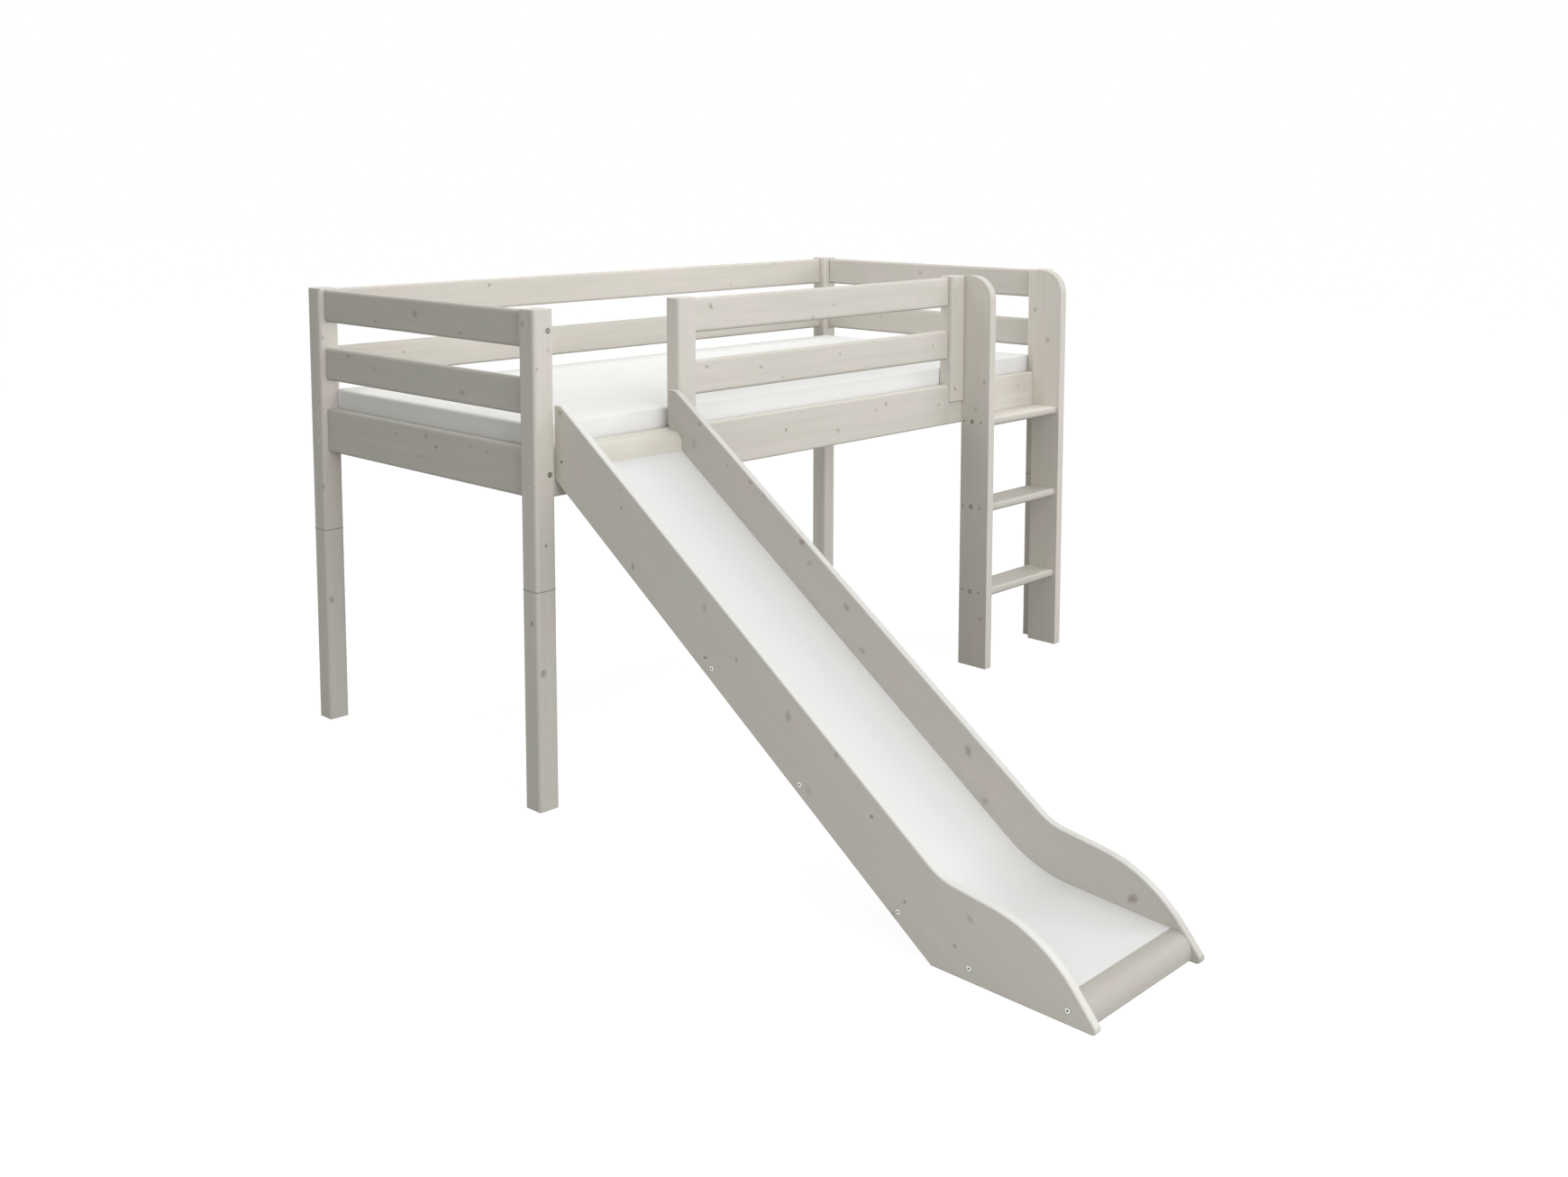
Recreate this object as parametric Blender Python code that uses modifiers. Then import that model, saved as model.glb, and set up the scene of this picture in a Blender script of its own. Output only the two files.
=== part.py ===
"""A mid-height loft bed of whitewashed pine, with a slide and a ladder on its front side.

Everything is in metres, +Z up. The bed's length runs along X and its front, with the slide and the
ladder, faces -Y. The origin is on the floor, in the middle of the box round bed and slide together.
"""

import math

import bmesh
import bpy
from mathutils import Vector

# Overall sizes of the bed frame
BED_LENGTH = 2.080
BED_DEPTH = 0.992
POST_TOP = 1.194
LEG_HEIGHT = 0.532

# Clearances: pieces that touch are drawn this far apart
SEAT = 0.0003
OVERRUN = 0.010

# Corner posts, each an upper post on a leg extension, joined by a dowel
POST_SIZE = 0.058
POST_EDGE = 0.008
POST_TOP_EDGE = 0.003
LEG_FOOT_EDGE = 0.002
LEG_SEAM_EDGE = 0.0008
LEG_DOWEL_RADIUS = 0.008
LEG_DOWEL_LENGTH = 0.100
LEG_DOWEL_EDGE = 0.001

# Thin boards of the ends, the back and the guard
BOARD_THICKNESS = 0.020
BOARD_WIDTH = 0.088
BOARD_EDGE = 0.008
BOARD_END_EDGE = 0.004
BOARD_INSET = 0.016
TOP_BOARD_TOP = 1.190
MIDDLE_BOARD_TOP = 1.032

# Low boards of the ends and the two side rails that carry the slats
RAIL_TOP = 0.868
RAIL_WIDTH = 0.120
RAIL_THICKNESS = 0.028
RAIL_INSET = 0.0155
RAIL_EDGE = 0.006

# Guard on the front side, with forked posts that straddle the rail
GUARD_POST_WIDTH = 0.0625
GUARD_POST_DEPTH = 0.049
GUARD_POST_START = 0.456
GUARD_POST_OVERLAP = 0.052
GUARD_SPAN = 1.0445
GUARD_FOOT_EDGE = 0.004

# Slatted base
LEDGER_THICKNESS = 0.025
LEDGER_HEIGHT = 0.028
LEDGER_EDGE = 0.002
SLAT_COUNT = 14
SLAT_WIDTH = 0.068
SLAT_THICKNESS = 0.018
SLAT_EDGE = 0.003
SLAT_TOP = 0.8142
SLAT_END_ROOM = 0.002
FIRST_SLAT = 0.105

# Mattress
MATTRESS_THICKNESS = 0.107
MATTRESS_END_ROOM = 0.004
MATTRESS_FRONT_ROOM = 0.002
MATTRESS_BACK_ROOM = 0.010
MATTRESS_CORNER = 0.055
MATTRESS_EDGE = 0.016

# Ladder: two stringers and three flat rungs
STRINGER_THICKNESS = 0.028
STRINGER_DEPTH = 0.103
STRINGER_TOP = 1.194
STRINGER_TOP_RADIUS = 0.070
STRINGER_BACK_RADIUS = 0.016
STRINGER_EDGE = 0.008
RUNG_LENGTH = 0.339
RUNG_THICKNESS = 0.024
RUNG_DEPTH = 0.095
RUNG_NOSE = 0.010
RUNG_BACK_EDGE = 0.003
RUNG_COUNT = 3
LOWEST_RUNG = 0.232
RUNG_RISE = 0.2613

# Slide: two cheeks, cut in one sweep from a wide plank
SLIDE_START = 0.068
SLIDE_WIDTH = 0.381
CHEEK_THICKNESS = 0.020
CHEEK_DEPTH = 0.159
CHEEK_EDGE = 0.004
CHEEK_TOP = 0.967
CHEEK_TOP_FLAT = 0.0236
CHEEK_TOP_RADIUS = 0.020
SLIDE_PITCH = math.radians(34.9)
KNEE_REACH = 1.1518
KNEE_RADIUS = 0.130
BROW_REACH = 1.3840
BROW_HEIGHT = 0.1485
BROW_RADIUS = 0.290
TOE_REACH = 1.5120
TOE_RADIUS = 0.010

# Slide: the white sliding board, housed in a groove in each cheek, and what it bears on
SURFACE_DROP = 0.1065
SLIDE_BOARD_THICKNESS = 0.010
SLIDE_BEND_REACH = 1.1196
SLIDE_BEND_RADIUS = 0.300
RUN_OUT_PITCH = math.radians(3.4)
GROOVE_DEPTH = 0.005
ENTRY_DEPTH = 0.0492
ENTRY_TOP = 0.866
ENTRY_HEIGHT = 0.073
ENTRY_NOSE = 0.030
ENTRY_EDGE = 0.002
NOSING_START = 1.4355
NOSING_DEPTH = 0.0465
NOSING_NOSE = 0.036
NOSING_FOOT_RADIUS = 0.008
NOSING_FOOT = 0.002
BATTEN_WIDTH = 0.045
BATTEN_HEIGHT = 0.036
BATTEN_EDGE = 0.002
BATTEN_PLACES = (0.531, 0.788, 1.050, 1.225)

# How finely arcs are drawn
ARC_STEP = math.radians(9)
EDGE_SEGMENTS = 3
DOWEL_SIDES = 24


def toe_tip():
    """How far in front of the rail the rounded tip of a cheek reaches."""
    nose_angle = math.atan2(BROW_HEIGHT, TOE_REACH - BROW_REACH)
    return TOE_REACH - TOE_RADIUS / math.tan(nose_angle / 2) + TOE_RADIUS


# Where the frame stands round the origin
LEFT = -BED_LENGTH / 2
RIGHT = BED_LENGTH / 2
FRONT = (toe_tip() - RAIL_INSET - BED_DEPTH) / 2
BACK = FRONT + BED_DEPTH
RAIL_FACE = FRONT + RAIL_INSET


def clear_scene():
    for obj in list(bpy.data.objects):
        bpy.data.objects.remove(obj, do_unlink=True)


def new_collection(name):
    collection = bpy.data.collections.new(name)
    bpy.context.scene.collection.children.link(collection)
    return collection


def finish_material(name, colour, roughness):
    material = bpy.data.materials.new(name)
    material.use_nodes = True
    shader = material.node_tree.nodes["Principled BSDF"]
    shader.inputs["Base Color"].default_value = (*colour, 1)
    shader.inputs["Roughness"].default_value = roughness
    shader.inputs["Metallic"].default_value = 0
    material.diffuse_color = (*colour, 1)
    return material


def whitewashed_pine():
    return finish_material("whitewashed_pine", (0.66, 0.64, 0.59), 0.50)


def white_laminate():
    return finish_material("white_laminate", (0.85, 0.85, 0.85), 0.30)


def mattress_cover():
    return finish_material("mattress_cover", (0.88, 0.88, 0.88), 0.90)


def bare_spruce():
    return finish_material("bare_spruce", (0.62, 0.48, 0.30), 0.65)


def beech_dowel():
    return finish_material("beech_dowel", (0.55, 0.38, 0.22), 0.60)


def add_object(name, data, material, group):
    obj = bpy.data.objects.new(name, data)
    bpy.data.collections[group].objects.link(obj)
    data.materials.append(material)
    return obj


def seat_under(parent, pieces):
    for piece in pieces:
        piece.parent = parent
        piece.matrix_parent_inverse = parent.matrix_world.inverted()


def add_empty(name, place):
    empty = bpy.data.objects.new(name, None)
    empty.location = place
    bpy.data.collections["loft_bed_with_slide"].objects.link(empty)
    bpy.context.view_layer.update()
    return empty


def shade_round(mesh):
    mesh.shade_smooth()
    mesh.set_sharp_from_angle(angle=math.radians(40))


def round_edges(obj, radius, segments=EDGE_SEGMENTS, by_weight=False):
    bevel = obj.modifiers.new("rounded_edges", "BEVEL")
    bevel.width = radius
    bevel.segments = segments
    bevel.limit_method = "WEIGHT" if by_weight else "ANGLE"
    bevel.angle_limit = math.radians(40)
    return bevel


def even_ends(along, low_share, high_share):
    """Rounding of a bar: whole along its long edges, and a share of it round each end."""

    def share(middle):
        across = dict(zip("xyz", middle))
        place = across.pop(along)
        if abs(place) < min(abs(side) for side in across.values()):
            return 1
        return low_share if place < 0 else high_share

    return share


def nose_in_front(back_share):
    """Rounding of a tread: whole along its front edges, and a share of it everywhere else."""

    def share(middle):
        return 1 if middle.y < 0 and abs(middle.x) < abs(middle.y) else back_share

    return share


def bar(name, low, high, radius, share_of, material, group="loft_bed_with_slide", segments=EDGE_SEGMENTS):
    """A straight piece between two corner points. share_of gives each edge's part of the radius."""
    low, high = Vector(low), Vector(high)
    shape = bmesh.new()
    bmesh.ops.create_cube(shape, size=1)
    weights = shape.edges.layers.float.new("bevel_weight_edge")
    for edge in shape.edges:
        middle = (edge.verts[0].co + edge.verts[1].co) / 2
        edge[weights] = share_of(middle)
    bmesh.ops.scale(shape, vec=high - low, verts=shape.verts)
    mesh = bpy.data.meshes.new(name)
    shape.to_mesh(mesh)
    shape.free()
    shade_round(mesh)
    obj = add_object(name, mesh, material, group)
    obj.location = (low + high) / 2
    if radius > 0:
        round_edges(obj, radius, segments, by_weight=True)
    return obj


def cylinder(name, centre, radius, length, material, group="loft_bed_with_slide"):
    shape = bmesh.new()
    bmesh.ops.create_cone(
        shape,
        cap_ends=True,
        segments=DOWEL_SIDES,
        radius1=radius,
        radius2=radius,
        depth=length,
    )
    mesh = bpy.data.meshes.new(name)
    shape.to_mesh(mesh)
    shape.free()
    shade_round(mesh)
    obj = add_object(name, mesh, material, group)
    obj.location = centre
    return obj


def as_cutter(obj):
    obj.hide_render = True
    obj.display_type = "WIRE"
    return obj


def cut(obj, cutter, name):
    boolean = obj.modifiers.new(name, "BOOLEAN")
    boolean.operation = "DIFFERENCE"
    boolean.solver = "EXACT"
    boolean.object = cutter


def filleted(corners):
    """The points of an outline through (along, up, radius) corners, each rounded by its radius."""
    outline = []
    for index, (along, up, radius) in enumerate(corners):
        here = Vector((along, up))
        if radius == 0:
            outline.append(here)
            continue
        before = Vector(corners[index - 1][:2])
        after = Vector(corners[(index + 1) % len(corners)][:2])
        to_before = (before - here).normalized()
        to_after = (after - here).normalized()
        half = to_before.angle(to_after) / 2
        tangent = radius / math.tan(half)
        centre = here + (to_before + to_after).normalized() * radius / math.sin(half)
        first = here + to_before * tangent - centre
        last = here + to_after * tangent - centre
        start = math.atan2(first.y, first.x)
        turn = math.remainder(math.atan2(last.y, last.x) - start, math.tau)
        steps = max(2, math.ceil(abs(turn) / ARC_STEP))
        for step in range(steps + 1):
            angle = start + turn * step / steps
            outline.append(centre + radius * Vector((math.cos(angle), math.sin(angle))))
    return outline


def flat_outline(name, outline, thickness, material, group="loft_bed_with_slide"):
    """A closed flat outline, drawn in the curve's own plane and given a thickness."""
    data = bpy.data.curves.new(name, "CURVE")
    data.dimensions = "2D"
    data.fill_mode = "BOTH"
    data.extrude = thickness / 2
    spline = data.splines.new("POLY")
    spline.points.add(len(outline) - 1)
    for point, (along, up) in zip(spline.points, outline):
        point.co = (along, up, 0, 1)
    spline.use_cyclic_u = True
    return add_object(name, data, material, group)


def side_view(obj, middle_x):
    """Stands a flat outline up, so that its first axis runs along Y and its second up."""
    obj.rotation_euler = (math.pi / 2, 0, math.pi / 2)
    obj.location = (middle_x, RAIL_FACE, 0)


def as_mesh(obj):
    """Replaces a curve object by a closed mesh with the same name and place."""
    graph = bpy.context.evaluated_depsgraph_get()
    mesh = bpy.data.meshes.new_from_object(obj.evaluated_get(graph))
    shape = bmesh.new()
    shape.from_mesh(mesh)
    bmesh.ops.remove_doubles(shape, verts=shape.verts, dist=SEAT / 10)
    bmesh.ops.recalc_face_normals(shape, faces=shape.faces)
    shape.to_mesh(mesh)
    shape.free()
    shade_round(mesh)
    name, place, group = obj.name, obj.matrix_world.copy(), obj.users_collection[0]
    curve = obj.data
    bpy.data.objects.remove(obj)
    bpy.data.curves.remove(curve)
    made = bpy.data.objects.new(name, mesh)
    made.matrix_world = place
    group.objects.link(made)
    return made


def side_piece(name, outline, x_low, x_high, radius, material, group="loft_bed_with_slide"):
    """A piece sawn to a side outline, between two places across, with its edges rounded."""
    obj = flat_outline(name, outline, x_high - x_low, material, group)
    side_view(obj, (x_low + x_high) / 2)
    bpy.context.view_layer.update()
    obj = as_mesh(obj)
    if radius > 0:
        round_edges(obj, radius)
    return obj


def post_places():
    """Each corner post's name and its two low corner coordinates."""
    return {
        "front_left": (LEFT, FRONT),
        "front_right": (RIGHT - POST_SIZE, FRONT),
        "back_left": (LEFT, BACK - POST_SIZE),
        "back_right": (RIGHT - POST_SIZE, BACK - POST_SIZE),
    }


def make_posts(pine, beech):
    pieces = []
    seam = LEG_HEIGHT
    for corner, (x, y) in post_places().items():
        middle = (x + POST_SIZE / 2, y + POST_SIZE / 2, seam)
        hole = cylinder(
            f"dowel_hole_{corner}",
            middle,
            LEG_DOWEL_RADIUS + SEAT,
            LEG_DOWEL_LENGTH + 2 * SEAT,
            beech,
            "cutters",
        )
        as_cutter(hole)
        upper = bar(
            f"post_{corner}",
            (x, y, seam + SEAT / 2),
            (x + POST_SIZE, y + POST_SIZE, POST_TOP),
            POST_EDGE,
            even_ends("z", LEG_SEAM_EDGE / POST_EDGE, POST_TOP_EDGE / POST_EDGE),
            pine,
        )
        leg = bar(
            f"leg_{corner}",
            (x, y, 0),
            (x + POST_SIZE, y + POST_SIZE, seam - SEAT / 2),
            POST_EDGE,
            even_ends("z", LEG_FOOT_EDGE / POST_EDGE, LEG_SEAM_EDGE / POST_EDGE),
            pine,
        )
        cut(upper, hole, "dowel_hole")
        cut(leg, hole, "dowel_hole")
        dowel = cylinder(f"leg_dowel_{corner}", middle, LEG_DOWEL_RADIUS, LEG_DOWEL_LENGTH, beech)
        round_edges(dowel, LEG_DOWEL_EDGE, 1)
        pieces += [upper, leg, dowel]
    return pieces


def end_boards(side, x, pine):
    """Three boards between the two posts of one end."""
    y_low = FRONT + POST_SIZE + SEAT
    y_high = BACK - POST_SIZE - SEAT
    end_share = BOARD_END_EDGE / BOARD_EDGE
    pieces = []
    for level, top, width in (
        ("top", TOP_BOARD_TOP, BOARD_WIDTH),
        ("middle", MIDDLE_BOARD_TOP, BOARD_WIDTH),
        ("low", RAIL_TOP, RAIL_WIDTH),
    ):
        pieces.append(
            bar(
                f"end_board_{side}_{level}",
                (x, y_low, top - width),
                (x + BOARD_THICKNESS, y_high, top),
                BOARD_EDGE,
                even_ends("y", end_share, end_share),
                pine,
            )
        )
    return pieces


def long_bar(name, x_low, x_high, y_low, thickness, top, width, radius, end_radius, material):
    """A board or rail along the bed."""
    return bar(
        name,
        (x_low, y_low, top - width),
        (x_high, y_low + thickness, top),
        radius,
        even_ends("x", end_radius / radius, end_radius / radius),
        material,
    )


def make_ends(pine):
    left = end_boards("left", LEFT + BOARD_INSET, pine)
    right = end_boards("right", RIGHT - BOARD_INSET - BOARD_THICKNESS, pine)
    return left + right


def make_long_sides(pine):
    x_low = LEFT + POST_SIZE + SEAT
    x_high = RIGHT - POST_SIZE - SEAT
    board_y = BACK - BOARD_INSET - BOARD_THICKNESS
    board = (x_low, x_high, board_y, BOARD_THICKNESS)
    pieces = [
        long_bar("back_board_top", *board, TOP_BOARD_TOP, BOARD_WIDTH, BOARD_EDGE, BOARD_END_EDGE, pine),
        long_bar("back_board_middle", *board, MIDDLE_BOARD_TOP, BOARD_WIDTH, BOARD_EDGE, BOARD_END_EDGE, pine),
    ]
    for side, y in (("front", RAIL_FACE), ("back", BACK - RAIL_INSET - RAIL_THICKNESS)):
        rail = (x_low, x_high, y, RAIL_THICKNESS, RAIL_TOP, RAIL_WIDTH)
        pieces.append(long_bar(f"side_rail_{side}", *rail, RAIL_EDGE, RAIL_EDGE / 2, pine))
    return pieces


def guard_post_x():
    """The low X of each guard post: the one beside the slide and the one beside the ladder."""
    slide_side = LEFT + GUARD_POST_START
    ladder_side = slide_side + GUARD_POST_WIDTH + GUARD_SPAN
    return {"slide_side": slide_side, "ladder_side": ladder_side}


def make_guard(pine):
    middle_y = RAIL_FACE + RAIL_THICKNESS / 2
    post_y = middle_y - GUARD_POST_DEPTH / 2
    foot = RAIL_TOP - GUARD_POST_OVERLAP
    slot = bar(
        "guard_post_slot",
        (LEFT, middle_y - RAIL_THICKNESS / 2 - SEAT, foot - OVERRUN),
        (RIGHT, middle_y + RAIL_THICKNESS / 2 + SEAT, RAIL_TOP + SEAT),
        0,
        even_ends("x", 0, 0),
        pine,
        "cutters",
    )
    as_cutter(slot)
    pieces = []
    for side, x in guard_post_x().items():
        post = bar(
            f"guard_post_{side}",
            (x, post_y, foot),
            (x + GUARD_POST_WIDTH, post_y + GUARD_POST_DEPTH, POST_TOP),
            POST_EDGE,
            even_ends("z", GUARD_FOOT_EDGE / POST_EDGE, POST_TOP_EDGE / POST_EDGE),
            pine,
        )
        cut(post, slot, "fork_over_rail")
        pieces.append(post)
    x_low = guard_post_x()["slide_side"] + GUARD_POST_WIDTH + SEAT
    x_high = guard_post_x()["ladder_side"] - SEAT
    board = (x_low, x_high, middle_y - BOARD_THICKNESS / 2, BOARD_THICKNESS)
    for level, top in (("top", TOP_BOARD_TOP), ("middle", MIDDLE_BOARD_TOP)):
        name = f"guard_board_{level}"
        pieces.append(long_bar(name, *board, top, BOARD_WIDTH, BOARD_EDGE, BOARD_END_EDGE, pine))
    return pieces


def make_slatted_base(pine, spruce):
    x_low = LEFT + POST_SIZE + SEAT
    x_high = RIGHT - POST_SIZE - SEAT
    inner_front = RAIL_FACE + RAIL_THICKNESS
    inner_back = BACK - RAIL_INSET - RAIL_THICKNESS
    ledger_top = SLAT_TOP - SLAT_THICKNESS - SEAT
    pieces = []
    for side, y in (("front", inner_front + SEAT), ("back", inner_back - LEDGER_THICKNESS - SEAT)):
        ledger = (x_low, x_high, y, LEDGER_THICKNESS, ledger_top, LEDGER_HEIGHT)
        pieces.append(long_bar(f"slat_ledger_{side}", *ledger, LEDGER_EDGE, LEDGER_EDGE, pine))
    pitch = (BED_LENGTH - 2 * FIRST_SLAT) / (SLAT_COUNT - 1)
    for number in range(SLAT_COUNT):
        middle = LEFT + FIRST_SLAT + number * pitch
        pieces.append(
            bar(
                f"bed_slat_{number + 1:02d}",
                (middle - SLAT_WIDTH / 2, inner_front + SLAT_END_ROOM, SLAT_TOP - SLAT_THICKNESS),
                (middle + SLAT_WIDTH / 2, inner_back - SLAT_END_ROOM, SLAT_TOP),
                SLAT_EDGE,
                even_ends("y", 0, 0),
                spruce,
                segments=2,
            )
        )
    return pieces


def make_mattress(cover):
    """A foam mattress with round corners, clear of the corner posts and the guard posts."""
    half_length = BED_LENGTH / 2 - BOARD_INSET - BOARD_THICKNESS - MATTRESS_END_ROOM
    guard_back = RAIL_FACE + RAIL_THICKNESS / 2 + GUARD_POST_DEPTH / 2
    y_low = guard_back + MATTRESS_FRONT_ROOM
    y_high = BACK - BOARD_INSET - BOARD_THICKNESS - MATTRESS_BACK_ROOM
    middle_y = (y_low + y_high) / 2
    half_width = (y_high - y_low) / 2
    corners = [
        (side_x * half_length, side_y * half_width, MATTRESS_CORNER)
        for side_x, side_y in ((-1, -1), (1, -1), (1, 1), (-1, 1))
    ]
    obj = flat_outline("mattress", filleted(corners), MATTRESS_THICKNESS, cover)
    obj.location = (0, middle_y, SLAT_TOP + SEAT + MATTRESS_THICKNESS / 2)
    bpy.context.view_layer.update()
    obj = as_mesh(obj)
    round_edges(obj, MATTRESS_EDGE)
    return obj


def ladder_x():
    """The low X of each stringer: the right one stands against the front right post."""
    right = RIGHT - POST_SIZE - SEAT - STRINGER_THICKNESS
    left = right - RUNG_LENGTH - 2 * SEAT - STRINGER_THICKNESS
    return {"left": left, "right": right}


def make_ladder(pine):
    front = -STRINGER_DEPTH
    outline = filleted(
        [
            (-SEAT, 0, 0),
            (-SEAT, STRINGER_TOP, STRINGER_BACK_RADIUS),
            (front, STRINGER_TOP, STRINGER_TOP_RADIUS),
            (front, 0, 0),
        ]
    )
    pieces = []
    for side, x in ladder_x().items():
        name = f"ladder_stringer_{side}"
        pieces.append(side_piece(name, outline, x, x + STRINGER_THICKNESS, STRINGER_EDGE, pine))
    x_low = ladder_x()["left"] + STRINGER_THICKNESS + SEAT
    x_high = ladder_x()["right"] - SEAT
    for number in range(RUNG_COUNT):
        middle = LOWEST_RUNG + number * RUNG_RISE
        pieces.append(
            bar(
                f"ladder_rung_{number + 1}",
                (x_low, RAIL_FACE - SEAT - RUNG_DEPTH, middle - RUNG_THICKNESS / 2),
                (x_high, RAIL_FACE - SEAT, middle + RUNG_THICKNESS / 2),
                RUNG_NOSE,
                nose_in_front(RUNG_BACK_EDGE / RUNG_NOSE),
                pine,
                segments=4,
            )
        )
    return pieces


def cheek_outline():
    """The side outline of a slide cheek, drawn forward along -Y from the rail's face."""
    slope = math.tan(SLIDE_PITCH)
    top_line = CHEEK_TOP + CHEEK_TOP_FLAT * slope
    under_line = top_line - CHEEK_DEPTH / math.cos(SLIDE_PITCH)
    return filleted(
        [
            (-SEAT, CHEEK_TOP, 0),
            (-CHEEK_TOP_FLAT, CHEEK_TOP, CHEEK_TOP_RADIUS),
            (-KNEE_REACH, top_line - KNEE_REACH * slope, KNEE_RADIUS),
            (-BROW_REACH, BROW_HEIGHT, BROW_RADIUS),
            (-TOE_REACH, 0, TOE_RADIUS),
            (-under_line / slope, 0, 0),
            (-SEAT, under_line - SEAT * slope, 0),
        ]
    )


def surface_height(reach):
    """Height of the straight part of the sliding surface, at a distance in front of the rail."""
    slope = math.tan(SLIDE_PITCH)
    top_line = CHEEK_TOP + CHEEK_TOP_FLAT * slope
    return top_line - SURFACE_DROP / math.cos(SLIDE_PITCH) - reach * slope


def surface_path(room):
    """The sliding surface from the entry piece to the nosing, with room at both ends."""
    slope, run_out = math.tan(SLIDE_PITCH), math.tan(RUN_OUT_PITCH)
    top = ENTRY_DEPTH + SEAT - room
    end = NOSING_START - SEAT + room
    bend = surface_height(SLIDE_BEND_REACH)
    return filleted(
        [
            (-top, bend + (SLIDE_BEND_REACH - top) * slope, 0),
            (-SLIDE_BEND_REACH, bend, SLIDE_BEND_RADIUS),
            (-end, bend - (end - SLIDE_BEND_REACH) * run_out, 0),
        ]
    )


def strip_outline(path, rise, drop):
    """A closed outline that follows a path, rise above it and drop below it, with upright ends."""
    upper, lower = [], []
    for index, point in enumerate(path):
        before = path[max(index - 1, 0)]
        after = path[min(index + 1, len(path) - 1)]
        run = (after - before).normalized()
        up = Vector((run.y, -run.x))
        if before == point or after == point:
            up = Vector((0, 1 / up.y))
        upper.append(point + up * rise)
        lower.append(point - up * drop)
    return upper + lower[::-1]


def run_out_height(reach):
    """Height of the run-out part of the sliding surface."""
    bend = surface_height(SLIDE_BEND_REACH)
    return bend - (reach - SLIDE_BEND_REACH) * math.tan(RUN_OUT_PITCH)


def make_cheeks(pine, left_in, right_in):
    outline = cheek_outline()
    groove = side_piece(
        "sliding_board_groove",
        strip_outline(surface_path(SEAT), SEAT, SLIDE_BOARD_THICKNESS + SEAT),
        left_in - GROOVE_DEPTH,
        right_in + GROOVE_DEPTH,
        0,
        pine,
        "cutters",
    )
    as_cutter(groove)
    pieces = []
    for side, x_low, x_high in (
        ("left", left_in - CHEEK_THICKNESS, left_in),
        ("right", right_in, right_in + CHEEK_THICKNESS),
    ):
        cheek = side_piece(f"slide_cheek_{side}", outline, x_low, x_high, CHEEK_EDGE, pine)
        cut(cheek, groove, "groove_for_sliding_board")
        pieces.append(cheek)
    return pieces


def make_battens(pine, x_low, x_high):
    """Cross battens under the sliding board, square to it, screwed through the cheeks."""
    pieces = []
    below = SLIDE_BOARD_THICKNESS + 2 * SEAT + BATTEN_HEIGHT / 2
    for number, reach in enumerate(BATTEN_PLACES, 1):
        on_run_out = reach > SLIDE_BEND_REACH
        pitch = RUN_OUT_PITCH if on_run_out else SLIDE_PITCH
        height = run_out_height(reach) if on_run_out else surface_height(reach)
        batten = bar(
            f"slide_batten_{number}",
            (x_low, -BATTEN_WIDTH / 2, -BATTEN_HEIGHT / 2),
            (x_high, BATTEN_WIDTH / 2, BATTEN_HEIGHT / 2),
            BATTEN_EDGE,
            even_ends("x", 0, 0),
            pine,
            segments=1,
        )
        batten.rotation_euler = (pitch, 0, 0)
        batten.location.y = RAIL_FACE - reach + below * math.sin(pitch)
        batten.location.z = height - below * math.cos(pitch)
        pieces.append(batten)
    return pieces


def make_entry_piece(pine, x_low, x_high):
    bottom = ENTRY_TOP - ENTRY_HEIGHT
    outline = filleted(
        [
            (-SEAT, ENTRY_TOP, 0),
            (-ENTRY_DEPTH, ENTRY_TOP, ENTRY_NOSE),
            (-ENTRY_DEPTH, bottom, 0),
            (-SEAT, bottom, 0),
        ]
    )
    return side_piece("slide_entry_rail", outline, x_low, x_high, 0, pine)


def make_nosing(pine, x_low, x_high):
    top = run_out_height(NOSING_START)
    front = NOSING_START + NOSING_DEPTH
    outline = filleted(
        [
            (-NOSING_START, top, 0),
            (-front, top, NOSING_NOSE),
            (-front, NOSING_FOOT, NOSING_FOOT_RADIUS),
            (-NOSING_START, NOSING_FOOT, 0),
        ]
    )
    return side_piece("slide_toe_nosing", outline, x_low, x_high, 0, pine)


def make_slide(pine, laminate):
    left_in = LEFT + SLIDE_START + CHEEK_THICKNESS
    right_in = LEFT + SLIDE_START + SLIDE_WIDTH - CHEEK_THICKNESS
    between = (left_in + SEAT, right_in - SEAT)
    board = side_piece(
        "slide_board",
        strip_outline(surface_path(0), 0, SLIDE_BOARD_THICKNESS),
        left_in - GROOVE_DEPTH + SEAT,
        right_in + GROOVE_DEPTH - SEAT,
        0,
        laminate,
    )
    pieces = make_cheeks(pine, left_in, right_in)
    pieces += [board, make_entry_piece(pine, *between), make_nosing(pine, *between)]
    pieces += make_battens(pine, *between)
    return pieces


def build():
    clear_scene()
    new_collection("loft_bed_with_slide")
    new_collection("cutters")
    pine, spruce, beech = whitewashed_pine(), bare_spruce(), beech_dowel()
    frame = add_empty("frame_origin", (0, 0, 0))
    pieces = make_posts(pine, beech) + make_ends(pine) + make_long_sides(pine)
    pieces += make_guard(pine) + make_slatted_base(pine, spruce)
    seat_under(frame, pieces)
    seat_under(add_empty("ladder_origin", (ladder_x()["left"], RAIL_FACE, 0)), make_ladder(pine))
    slide_origin = add_empty("slide_origin", (LEFT + SLIDE_START, RAIL_FACE, 0))
    seat_under(slide_origin, make_slide(pine, white_laminate()))
    make_mattress(mattress_cover())


build()
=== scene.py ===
# %% [markdown]
# # Loft bed with slide: the looks
#
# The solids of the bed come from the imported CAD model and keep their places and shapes. This script
# gives every one of them the finish that it has in the photograph. It swaps the stiff mattress solid
# for a soft one and the slide's five main pieces for finely sawn ones, adds the small fasteners, and
# sets up the light and the camera.
#
# All sizes are in metres, in the CAD's own frame: +X along the bed from the slide to the ladder,
# +Y from the slide's toe to the bed's back, and +Z up. The floor is at zero height.

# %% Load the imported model
import math
from random import Random

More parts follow.
